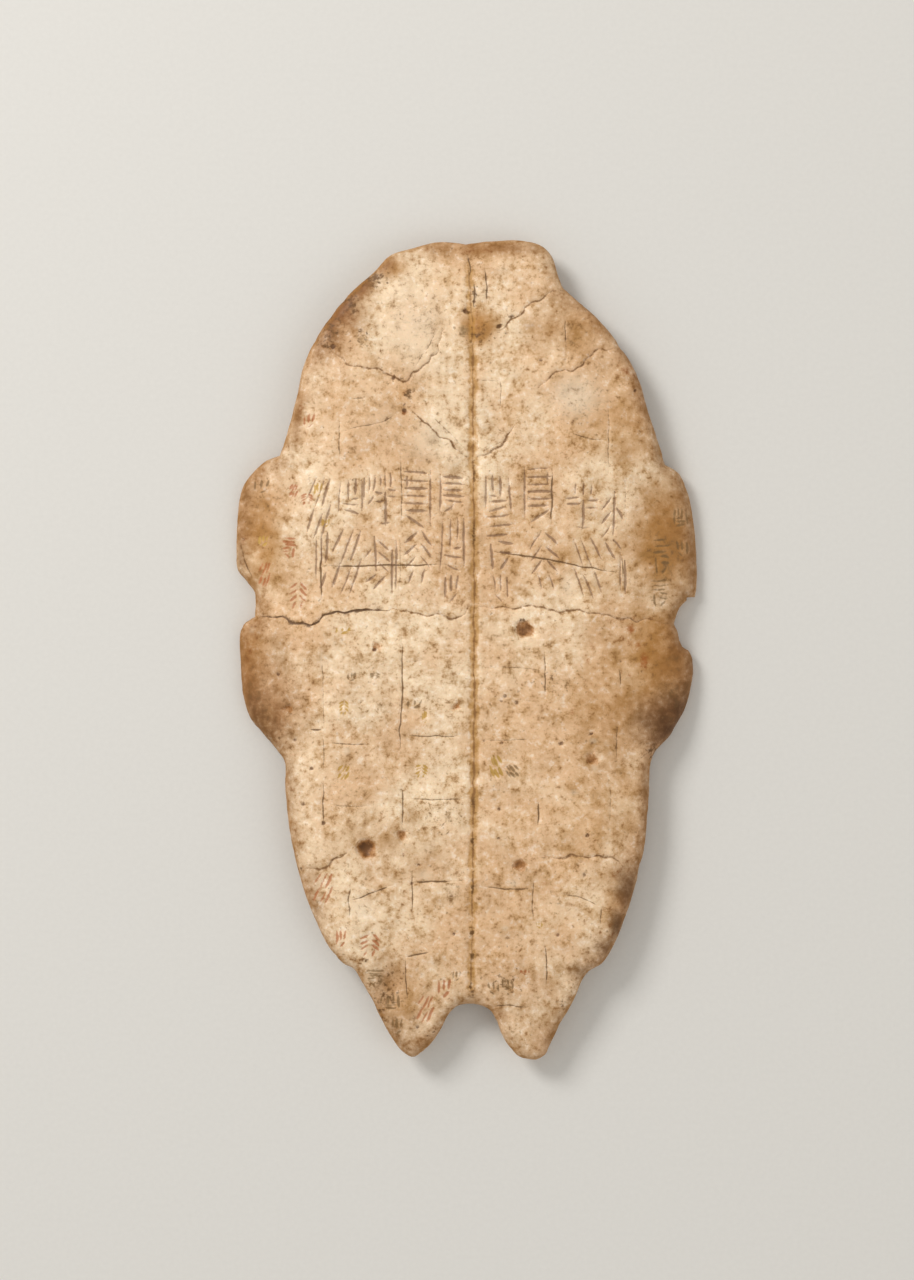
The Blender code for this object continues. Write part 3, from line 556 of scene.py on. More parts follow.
pits = [(place((x, y)), radius * MM) for x, y, radius in PITS]
cuts["pit"] = [round_cut(centre, radius, radius * PIT_SHARE) for centre, radius in pits]
cuts["pore"] = [
    round_cut(place((x, y)), radius * MM, radius * MM * PORE_SHARE, 10, (0.5, 1.0)) for x, y, radius in PORES
]
cuts["slot"], cuts["drill"] = [], []
for row in np.arange(HOLLOW_FIRST_ROW - LENGTH / 2, LENGTH / 2, HOLLOW_PITCH):
    for side, column in ((side, column) for side in (-1, 1) for column in HOLLOW_COLUMNS):
        slot, reach = np.array((MIDLINE_X + side * column, row)), SLOT_LENGTH / 2
        tips = slot + np.array(((0, -reach), (0, reach), (side * SLOT_WIDTH / 2, 0)))
        clear = all(np.linalg.norm(slot - centre) > radius + reach for centre, radius in pits)
        if clear and deeper_in(tips, EDGE_ROUND + HOLLOW_MARGIN).all():
            inner, outer = plate_faces(slot[None], inside_by(slot[None]))
            bone = (outer - inner)[0]
            cuts["slot"].append(slot_cut(slot, bone - SLOT_WEB))
            drill = slot - np.array((side * DRILL_OFFSET, 0))
            cuts["drill"].append(round_cut(drill, DRILL_RADIUS, bone - DRILL_WEB))
print(", ".join(f"{len(found)} {kind}" for kind, found in cuts.items()))
INNER_KINDS = ("slot", "drill")

# %% [markdown]
# ## The net of triangles
#
# A plain grid would show stairs along every thin line. A constrained Delaunay net takes the outline and
# the rows beside each cut as edges that it has to keep, and fills the rest with an even field of points.
# It is made once for each face, and the two nets share the points of the outline, which closes the solid.

# %% Points of the net
OUTER_STEP, INNER_STEP = 0.72 * MM, 1.15 * MM
EDGE_RINGS = (0.03, 0.12, 0.28, 0.5, 0.75, 1.0)  # rings around the edge, as shares of EDGE_ROUND
RING_KEPT = 0.9  # in a hollow of the outline, ring points nearer to it than this share are dropped
GUIDE_INSIDE = 0.25 * MM  # rows of a cut stay this far inside the outline
FIELD_INSIDE, FIELD_CLEAR = 0.4, 0.55  # how far the field keeps from the rings and other points, in steps
NET_TOLERANCE = 2e-5


def edge_rings():
    """Rings of points that follow the outline, so that the rounded edge is smooth."""
    before, after = np.roll(EDGE, 1, axis=0), np.roll(EDGE, -1, axis=0)
    along = (after - before) / np.linalg.norm(after - before, axis=1)[:, None]
    inward = np.stack((-along[:, 1], along[:, 0]), axis=1)
    found = []
    for share in EDGE_RINGS:
        points = EDGE + inward * share * EDGE_ROUND
        found.append(points[deeper_in(points, RING_KEPT * share * EDGE_ROUND)])
    return np.vstack(found)


def field(step, taken):
    """A triangular field of points inside the rounded edge, clear of the points that are taken."""
    rise = step * math.sqrt(3) / 2
    rows = np.arange(-LENGTH / 2, LENGTH / 2, rise)
    places = np.arange(-WIDTH / 2, WIDTH / 2 + step, step)
    points = np.array([(x + (i % 2) * step / 2, y) for i, y in enumerate(rows) for x in places])
    points = points[deeper_in(points, EDGE_ROUND + FIELD_INSIDE * step)]
    tree = kdtree.KDTree(len(taken))
    for i, point in enumerate(taken):
        tree.insert((*point, 0), i)
    tree.balance()
    return points[[tree.find((*point, 0))[2] > FIELD_CLEAR * step for point in points]]


# %% The net of one face
def net(kinds, step):
    """Plan points and triangles of one face, whose edges follow the outline and the cuts."""
    guides = [row for kind in kinds for cut in cuts[kind] for row in cut[3]]
    joined = np.vstack(guides)
    starts = np.cumsum([0] + [len(row) for row in guides])
    kept = deeper_in(joined, GUIDE_INSIDE)
    number = np.cumsum(kept) - 1 + len(EDGE)
    last = set(starts[1:] - 1)
    lines = [
        (int(number[i]), int(number[i + 1])) for i in range(len(joined) - 1)
        if i not in last and kept[i] and kept[i + 1]
    ]
    rings = edge_rings()
    points = np.vstack((EDGE, joined[kept], rings, field(step, np.vstack((joined[kept], rings)))))
    flat = [Vector(map(float, point)) for point in points]
    found = delaunay_2d_cdt(flat, lines, [list(range(len(EDGE)))], 1, NET_TOLERANCE)
    return np.array([tuple(point) for point in found[0]]), np.array(found[2])


outer_kinds = [kind for kind in cuts if kind not in INNER_KINDS]
outer_plan, outer_triangles = net(outer_kinds, OUTER_STEP)
inner_plan, inner_triangles = net(INNER_KINDS, INNER_STEP)
print(f"nets: {len(outer_triangles)} triangles outside, {len(inner_triangles)} inside")


# %% Both faces lifted to the form, as one closed mesh
def new_object(name, data):
    made = bpy.data.objects.new(name, data)
    bpy.context.scene.collection.objects.link(made)
    return made


def write_attribute(mesh, name, values):
    mesh.attributes.new(name, "FLOAT", "POINT").data.foreach_set("value", np.asarray(values, np.float32))


def lifted_mesh():
    points, sides, rims = [], [], []
    for plan, side in ((outer_plan, 1), (inner_plan, -1)):
        inside = inside_by(plan)
        points.append(np.column_stack((plan, rounded_face(plan, inside, side))))
        sides.append(side * smooth(inside / EDGE_ROUND))
        rims.append(inside)
    faces = outer_triangles.tolist() + (inner_triangles[:, ::-1] + len(outer_plan)).tolist()
    mesh = bpy.data.meshes.new("shell_bone")
    mesh.from_pydata(np.vstack(points).tolist(), [], faces)
    write_attribute(mesh, "side", np.concatenate(sides))
    write_attribute(mesh, "rim", np.concatenate(rims))
    work = bmesh.new()
    work.from_mesh(mesh)
    bmesh.ops.remove_doubles(work, verts=work.verts, dist=SAME_PLACE)
    print(f"{sum(len(edge.link_faces) != 2 for edge in work.edges)} open edges")
    work.to_mesh(mesh)
    work.free()
    return mesh


bone = new_object("uncut_bone", lifted_mesh())

# %% [markdown]
# ## The finish: aged, polished shell bone
#
# Old bone is ivory to peach where it is clean and turns tan, amber and brown where soil water has stood.
# It is dense and was polished, so it has a low, broken sheen, with fine grain that dulls it, and it lets a
# little light in. It is darkest in its cracks, painted shade darkens its wings and rim where the shell falls
# away from the light, and its lightness is never quite even.
#
# A picture could be painted for it, but a shader of noises stays sharp at any size. What lies in a certain
# place is written into attributes of the mesh, such as a crack's depth or a stain's strength, and the
# shader breaks their edges up with noise, so that they look soaked in.

# %% Helpers for nodes
def colour(code):
    """An sRGB hex colour as the linear one that a shader wants."""
    values = [int(code[i : i + 2], 16) / 255 for i in (1, 3, 5)]
    return (*[v / 12.92 if v <= 0.04045 else ((v + 0.055) / 1.055) ** 2.4 for v in values], 1.0)


def shown(sockets, name):
    """The socket of that name or number among those that the node uses."""
    used = [socket for socket in sockets if socket.enabled]
    return used[name] if isinstance(name, int) else next(s for s in used if s.name == name)


def add(tree, kind, sockets=None, out=0, **settings):
    """Adds a node with its settings, values and links, and gives one of its outputs."""
    node = tree.nodes.new(kind)
    for name, value in settings.items():
        setattr(node, name, value)
    for name, value in (sockets or {}).items():
        socket = shown(node.inputs, name)
        if isinstance(value, bpy.types.NodeSocket):
            tree.links.new(value, socket)
        else:
            socket.default_value = value
    return shown(node.outputs, out)


# %% Colours of the bone and its stains
IVORY, PEACH, PALE = "#EFD4B1", "#E7BE93", "#F7E3C6"
TAN, MOTTLE, FLECK, SHADE_AND_STAIN_BROWN = "#B87C24", "#D29C50", "#BC823C", "#9E7626"
OLIVE, SPOT, WHITE_FLECK = "#947852", "#92682F", "#FCF0E0"
RUST, OCHRE, AMBER, SOIL_AND_SHADE, SPECK = "#A85A1C", "#C3943A", "#A97636", "#402404", "#603E16"
MIDLINE_BROWN, THREAD_BROWN, SEAM_BROWN, HAIR_BROWN = "#BE8B44", "#83582F", "#80582F", "#70512F"
CRACK_BROWN, STROKE_BROWN = "#644529", "#805E48"
PIT_BROWN, PIT_FLOOR, SCORCH = "#B2783A", "#6A4525", "#4A3423"
INKS = {"red": "#B4683A", "ochre": "#C49C52", "grime": "#7E6038"}

# %% The bone's material, its noises and a blotch with a soft, broken edge
NOISES = {  # size in millimetres, detail, roughness
    "broad": (21, 2.0, 0.5), "patch": (6.5, 4.0, 0.65), "mottle": (3.2, 4.0, 0.65),
    "small": (1.6, 3.0, 0.65), "dot": (1.1, 2.0, 0.6),
    "grain": (0.6, 2.0, 0.6),  # real pores are about 0.2 mm, too fine to show, so these are coarser
}
bone_finish = bpy.data.materials.new("aged_polished_shell_bone")
bone_finish.use_nodes = True
tree = bone_finish.node_tree
shader = tree.nodes["Principled BSDF"]
space = add(  # in millimetres, so that a noise's scale is 1 / size
    tree, "ShaderNodeVectorMath",
    {"Vector": add(tree, "ShaderNodeTexCoord", out="Object"), "Scale": 1 / MM}, operation="SCALE",
)
noises = {}
for name, (size, detail, rough) in NOISES.items():
    noises[name] = add(
        tree, "ShaderNodeTexNoise",
        {"Vector": space, "Scale": 1 / size, "Detail": detail, "Roughness": rough},
    )


def blotch(amount, noise, spread, low, high, most):
    """A soft-edged patch: where amount, broken up by a noise, passes from low to high."""
    swing = add(
        tree, "ShaderNodeMath", {0: noises[noise], 1: spread, 2: -spread / 2}, operation="MULTIPLY_ADD",
    )
    total = add(tree, "ShaderNodeMath", {0: amount, 1: swing}, operation="ADD")
    return add(
        tree, "ShaderNodeMapRange",
        {"Value": total, "From Min": low, "From Max": high, "To Min": 0.0, "To Max": most},
        interpolation_type="SMOOTHSTEP",
    )


def painted(name):
    return add(tree, "ShaderNodeAttribute", out="Fac", attribute_name=name)


# %% The layers of stain, from the lowest up
# Where, the noise that breaks it up and its spread, from and to what amount it sets in, the most, the colour
LAYERS = (
    ("everywhere", "small", -1.0, 0.53, 0.72, 0.42, WHITE_FLECK),
    ("tan", "patch", 1.2, 0.1, 1.0, 0.85, TAN),
    ("everywhere", "mottle", 1.0, 0.46, 0.72, 0.42, MOTTLE),
    ("everywhere", "small", 1.0, 0.5, 0.7, 0.3, FLECK),
    # pale patches of the bone; two thin strips beside the midline are a painted highlight on its lit flank
    ("pale", "small", 1.3, 0.2, 1.1, 0.6, PALE),
    # painted shade, with some stain: a brown veil multiplied over the wings and rims that bend away from the
    # light
    ("shade", "mottle", 0.4, 0.0, 1.1, 0.9, SHADE_AND_STAIN_BROWN),
    ("olive", "small", 2.4, 0.4, 1.2, 0.85, OLIVE),
    ("everywhere", "dot", 1.0, 0.57, 0.74, 0.36, SPOT),
    ("everywhere", "patch", 1.0, 0.56, 0.78, 0.2, OLIVE),
    ("rust", "small", 2.0, 0.3, 1.2, 0.85, RUST),
    ("ochre", "small", 1.2, 0.35, 0.9, 0.8, OCHRE),
    # painted shade: brown multiplied into a band along the whole rim, darker towards the edge, where the
    # shell falls away
    ("rim shade", "mottle", 1.0, 0.2, 1.2, 0.5, SHADE_AND_STAIN_BROWN),
    ("near rim", "mottle", 1.8, 0.3, 1.3, 0.65, AMBER),
    # painted shade at the low ends of the wings and the lower right rims, with some grime
    ("dark", "mottle", 0.6, 0.1, 1.0, 0.85, SOIL_AND_SHADE),
    ("midline", "mottle", 1.8, 0.1, 1.1, 0.8, MIDLINE_BROWN),
    ("thread", "mottle", 2.4, 0.1, 1.0, 0.75, THREAD_BROWN),
    ("speck", "dot", 2.6, 0.4, 1.1, 0.85, SPECK),
    ("seam", "small", 1.6, 0.3, 1.1, 0.9, SEAM_BROWN),
    ("hair", "small", 1.1, 0.08, 0.7, 0.85, HAIR_BROWN),
    ("stroke", "small", 0.9, 0.25, 0.7, 0.65, STROKE_BROWN),
    *((ink, "small", 1.1, 0.15, 0.8, 0.75, tone) for ink, tone in INKS.items()),
    ("pit", "small", 1.0, 0.05, 0.6, 0.85, PIT_BROWN),
    ("pit", "small", 1.4, 0.3, 1.0, 0.9, PIT_FLOOR),
    ("pore", "dot", 0.6, 0.1, 0.7, 0.85, PIT_FLOOR),
    ("slot", "small", 0.8, 0.1, 1.0, 0.6, SCORCH),
    ("drill", "small", 0.8, 0.1, 1.0, 0.85, SCORCH),
    ("crack", "small", 1.6, 0.1, 1.0, 0.9, CRACK_BROWN),
)
MULTIPLIED_SHADE_AND_STAIN = ("shade", "rim shade")  # these multiply the bone's colour: painted shade where the shell bends away from the light, with some stain
RIM_REACHES = {"near rim": 2.0, "rim shade": 7.5}  # millimetres
RIM_EDGE = 0.1 * MM
UNEVENNESS = {"broad": 0.08, "patch": 0.08, "mottle": 0.05, "small": 0.05}  # share of lighter and darker

# %% The layers laid over each other
amounts = {"everywhere": 0.5}  # the middle of a noise's range
for where, reach in RIM_REACHES.items():
    ends = {"Value": painted("rim"), "From Min": reach * MM, "From Max": RIM_EDGE}
    amounts[where] = add(tree, "ShaderNodeMapRange", ends)
ivory_or_peach = blotch(amounts["everywhere"], "broad", 1.0, 0.35, 0.65, 1.0)
tone = add(
    tree, "ShaderNodeMix", {"Factor": ivory_or_peach, "A": colour(IVORY), "B": colour(PEACH)},
    data_type="RGBA",
)
for where, noise, spread, low, high, most, stain in LAYERS:
    amount = amounts[where] if where in amounts else painted(where)
    how_much = blotch(amount, noise, spread, low, high, most)
    tone = add(
        tree, "ShaderNodeMix", {"Factor": how_much, "A": tone, "B": colour(stain)}, data_type="RGBA",
        blend_type="MULTIPLY" if where in MULTIPLIED_SHADE_AND_STAIN else "MIX",
    )
for noise, swing in UNEVENNESS.items():
    lightness = add(
        tree, "ShaderNodeMapRange",
        {"Value": noises[noise], "From Min": 0.3, "From Max": 0.7, "To Min": 1 + swing, "To Max": 1 - swing},
    )
    tone = add(tree, "ShaderNodeHueSaturation", {"Value": lightness, "Color": tone})
tree.links.new(tone, shader.inputs["Base Color"])
print(f"{len(LAYERS)} layers of stain")

# %% Sheen, grain and the light that the bone lets in
GRAIN_HEIGHT = 0.05 * MM
POLISHED, DULL = 0.42, 0.64  # roughness
worn_off = blotch(amounts["everywhere"], "mottle", 1.0, 0.2, 0.8, 1.0)
roughness = add(tree, "ShaderNodeMapRange", {"Value": worn_off, "To Min": POLISHED, "To Max": DULL})
tree.links.new(roughness, shader.inputs["Roughness"])
height = add(
    tree, "ShaderNodeMath", {0: noises["grain"], 1: 0.5, 2: noises["small"]}, operation="MULTIPLY_ADD",
)
grain = add(tree, "ShaderNodeBump", {"Strength": 1.0, "Distance": GRAIN_HEIGHT, "Height": height})
tree.links.new(grain, shader.inputs["Normal"])
for socket, value in {
    "IOR": 1.54,  # bone mineral in old collagen
    "Specular IOR Level": 0.25,  # its pores scatter part of the sheen
    "Subsurface Weight": 0.06, "Subsurface Radius": (1.0, 0.6, 0.35),  # red light goes in deepest
    "Subsurface Scale": 0.6 * MM,
}.items():
    shader.inputs[socket].default_value = value
print(f"{bone_finish.name}: {len(tree.nodes)} nodes")

# %% [markdown]
# ## Cutting the lines
#
# Each kind of line is one hidden mesh of edges, whose points carry a half-width and a depth. One node tree
# cuts any of them: for each point of the bone it finds the nearest line in plan, and how far across that
# line's width it lies gives the depth there. Rounding shapes the section: 1 is a V, 2 a bowl, 4 a channel.
# Wobble looks for the line a little to one side, by a noise, which makes the edge of the cut ragged.
# The tree only writes the depth down. A second tree then carves all of it at once, so that where two cuts
# cross the deeper one wins, instead of their sum.

# %% Starting and ending a tree, and running it on the bone
def start_tree(name, sizes):
    """An empty tree with named inputs. Gives it and the sockets of its inputs."""
    started = bpy.data.node_groups.new(name, "GeometryNodeTree")
    for label, kind in (("Geometry", "Geometry"), *sizes, ("Material", "Material")):
        started.interface.new_socket(label, in_out="INPUT", socket_type=f"NodeSocket{kind}")
    started.interface.new_socket("Geometry", in_out="OUTPUT", socket_type="NodeSocketGeometry")
    sockets = started.nodes.new("NodeGroupInput").outputs
    return started, {socket.name: socket for socket in sockets if socket.name}


def end_tree(tree, geometry, material):
    """Real geometry, dressed in its material."""
    real = add(tree, "GeometryNodeRealizeInstances", {"Geometry": geometry})
    dressed = add(tree, "GeometryNodeSetMaterial", {"Geometry": real, "Material": material})
    tree.links.new(dressed, tree.nodes.new("NodeGroupOutput").inputs[0])


def run_tree(piece, tree, **sizes):
    """Adds the tree as a modifier, its inputs set by the identifiers of their sockets."""
    modifier = piece.modifiers.new(tree.name, "NODES")
    modifier.node_group = tree
    for socket in tree.interface.items_tree:
        if socket.in_out == "INPUT" and socket.name.replace(" ", "_") in sizes:
            modifier[socket.identifier] = sizes[socket.name.replace(" ", "_")]


def stored(tree, name):
    return add(tree, "GeometryNodeInputNamedAttribute", {"Name": name}, data_type="FLOAT")


# %% The tree that writes down a cut
WOBBLE_SIZE = 2.2 * MM
cutter, given = start_tree("cut along lines", (
    ("Lines", "Object"), ("Side", "Float"), ("Rounding", "Float"), ("Deepest", "Float"), ("Wobble", "Float"),
    ("Mark", "String"),
))
lines = add(cutter, "GeometryNodeObjectInfo", {"Object": given["Lines"]}, out="Geometry")
place_here = add(cutter, "GeometryNodeInputPosition")
drift = add(
    cutter, "ShaderNodeTexNoise", {"Vector": place_here, "Scale": 1 / WOBBLE_SIZE, "Detail": 2.0},
    out="Color",
)
drift = add(cutter, "ShaderNodeVectorMath", {0: drift, 1: (0.5, 0.5, 0.5)}, operation="SUBTRACT")
drift = add(cutter, "ShaderNodeVectorMath", {"Vector": drift, "Scale": given["Wobble"]}, operation="SCALE")
plan = add(cutter, "ShaderNodeVectorMath", {0: place_here, 1: drift}, operation="ADD")
plan = add(cutter, "ShaderNodeVectorMath", {0: plan, 1: (1.0, 1.0, 0.0)}, operation="MULTIPLY")
away = add(
    cutter, "GeometryNodeProximity", {"Geometry": lines, "Sample Position": plan},
    out="Distance", target_element="EDGES",
)
nearest = add(cutter, "GeometryNodeSampleNearest", {"Geometry": lines, "Sample Position": plan})
half, depth = (
    add(
        cutter, "GeometryNodeSampleIndex",
        {"Geometry": lines, "Value": stored(cutter, name), "Index": nearest},
    )
    for name in ("half_width", "depth")
)
across = add(cutter, "ShaderNodeMath", {0: away, 1: half}, operation="DIVIDE", use_clamp=True)
across = add(cutter, "ShaderNodeMath", {0: across, 1: given["Rounding"]}, operation="POWER")
fall = add(cutter, "ShaderNodeMath", {0: 1.0, 1: across}, operation="SUBTRACT")
facing = add(
    cutter, "ShaderNodeMath", {0: stored(cutter, "side"), 1: given["Side"]},
    operation="MULTIPLY", use_clamp=True,
)
fall = add(cutter, "ShaderNodeMath", {0: fall, 1: facing}, operation="MULTIPLY")
here = add(cutter, "ShaderNodeMath", {0: fall, 1: depth}, operation="MULTIPLY")
deeper = add(cutter, "ShaderNodeMath", {0: here, 1: stored(cutter, "cut")}, operation="MAXIMUM")
share = add(cutter, "ShaderNodeMath", {0: here, 1: given["Deepest"]}, operation="DIVIDE")
written = given["Geometry"]
for name, value in (("cut", deeper), (given["Mark"], share)):
    written = add(
        cutter, "GeometryNodeStoreNamedAttribute",
        {"Geometry": written, "Name": name, "Value": value}, data_type="FLOAT",
    )
end_tree(cutter, written, given["Material"])

# %% A hidden mesh of edges for each kind, and the tree run along it
SECTIONS = {  # the rounding of each kind of cut, and its wobble in millimetres
    "midline": (3.0, 2.2), "thread": (1.2, 0.6), "seam": (1.3, 1.0), "crack": (3.0, 0.9), "hair": (1.2, 0.4),
    "stroke": (1.6, 0.4), "red": (2.0, 0.4), "ochre": (2.0, 0.4), "grime": (2.0, 0.4), "pit": (2.4, 3.2),
    "pore": (2.0, 1.4), "slot": (1.0, 1.0), "drill": (2.2, 1.0),
}


def lines_object(kind):
    """The lines of one kind of cut as a mesh of edges, and the depth of the deepest."""
    lines, *values = zip(*(cut[:3] for cut in cuts[kind]))
    halves, depths = map(np.concatenate, values)
    points = np.column_stack((np.vstack(lines), np.zeros(len(halves))))
    ends = set(np.cumsum([len(line) for line in lines]) - 1)
    mesh = bpy.data.meshes.new(f"{kind}_lines")
    mesh.from_pydata(points.tolist(), [(i, i + 1) for i in range(len(points)) if i not in ends], [])
    write_attribute(mesh, "half_width", halves)
    write_attribute(mesh, "depth", depths)
    return new_object(mesh.name, mesh), float(depths.max())


guides = []
for kind in cuts:
    guide, deepest = lines_object(kind)
    guides.append(guide)
    rounding, wobble = SECTIONS[kind]
    run_tree(
        bone, cutter, Lines=guide, Side=-1.0 if kind in INNER_KINDS else 1.0, Rounding=rounding,
        Deepest=deepest, Wobble=wobble * MM, Mark=kind, Material=bone_finish,
    )

# %% [markdown]
# ## Carving and weathering
#
# The second tree moves the surface: down by the depth that was written, then along its normals by two
# noises, the broad unevenness left by scraping and a fine ripple. Nibbles are taken out of the rounded rim
# where it has been knocked. Last, nothing may go below the table, which leaves the wings' flats flat.

# %% The tree that carves and weathers
weather, given = start_tree("carve and weather", [(label, "Float") for label in (
    "Lump Size", "Lump Height", "Ripple Size", "Ripple Height", "Nibble Size", "Nibble Depth", "Rim Reach",
    "Seed",
)])
facing = add(weather, "ShaderNodeMath", {0: stored(weather, "side")}, operation="SIGN")
down = add(weather, "ShaderNodeMath", {0: facing, 1: stored(weather, "cut")}, operation="MULTIPLY")
down = add(weather, "ShaderNodeMath", {0: down, 1: -1.0}, operation="MULTIPLY")
carved = add(
    weather, "GeometryNodeSetPosition",
    {"Geometry": given["Geometry"], "Offset": add(weather, "ShaderNodeCombineXYZ", {"Z": down})},
)


def waves(size, height, middle):
    """A noise of that size as heights, 0 where the noise is at middle."""
    scale = add(weather, "ShaderNodeMath", {0: 1.0, 1: size}, operation="DIVIDE")
    noise = add(
        weather, "ShaderNodeTexNoise",
        {
            "Vector": add(weather, "GeometryNodeInputPosition"), "W": given["Seed"], "Scale": scale,
            "Detail": 2.0,
        },
        noise_dimensions="4D",
    )
    lift = add(weather, "ShaderNodeMath", {0: noise, 1: middle}, operation="SUBTRACT")
    return add(weather, "ShaderNodeMath", {0: lift, 1: height}, operation="MULTIPLY")


NOISE_MIDDLE, BITTEN_FROM = 0.5, 0.52
lumps = waves(given["Lump Size"], given["Lump Height"], NOISE_MIDDLE)
ripples = waves(given["Ripple Size"], given["Ripple Height"], NOISE_MIDDLE)
bites = waves(given["Nibble Size"], given["Nibble Depth"], BITTEN_FROM)
bites = add(weather, "ShaderNodeMath", {0: bites, 1: 0.0}, operation="MAXIMUM")
near_rim = add(
    weather, "ShaderNodeMapRange",
    {"Value": stored(weather, "rim"), "From Min": given["Rim Reach"], "From Max": 0.0},
)
bites = add(weather, "ShaderNodeMath", {0: bites, 1: near_rim}, operation="MULTIPLY")
rise = add(weather, "ShaderNodeMath", {0: lumps, 1: ripples}, operation="ADD")
rise = add(weather, "ShaderNodeMath", {0: rise, 1: bites}, operation="SUBTRACT")
worn = add(
    weather, "ShaderNodeVectorMath", {"Vector": add(weather, "GeometryNodeInputNormal"), "Scale": rise},
    operation="SCALE",
)
worn = add(weather, "GeometryNodeSetPosition", {"Geometry": carved, "Offset": worn})
spot = add(weather, "ShaderNodeSeparateXYZ", {"Vector": add(weather, "GeometryNodeInputPosition")}, out="Z")
under = add(weather, "ShaderNodeMath", {0: spot, 1: 0.0}, operation="MINIMUM")
lifted = add(weather, "ShaderNodeMath", {0: under, 1: -1.0}, operation="MULTIPLY")
worn = add(
    weather, "GeometryNodeSetPosition",
    {"Geometry": worn, "Offset": add(weather, "ShaderNodeCombineXYZ", {"Z": lifted})},
)
end_tree(weather, worn, given["Material"])
run_tree(
    bone, weather, Lump_Size=13 * MM, Lump_Height=0.7 * MM, Ripple_Size=3.2 * MM, Ripple_Height=0.16 * MM,
    Nibble_Size=4.5 * MM, Nibble_Depth=1.6 * MM, Rim_Reach=1.6 * MM, Seed=4.0, Material=bone_finish,
)

# %% The result as a plain mesh
bpy.context.view_layer.update()
evaluated = bone.evaluated_get(bpy.context.evaluated_depsgraph_get())
plastron = new_object("shell_bone", bpy.data.meshes.new_from_object(evaluated))
for spent in (bone, *guides):
    bpy.data.objects.remove(spent)
SHARP_FOLD = math.radians(38)
plastron.data.shade_smooth()
plastron.data.set_sharp_from_angle(angle=SHARP_FOLD)
print(f"{plastron.name}: {len(plastron.data.polygons)} triangles")
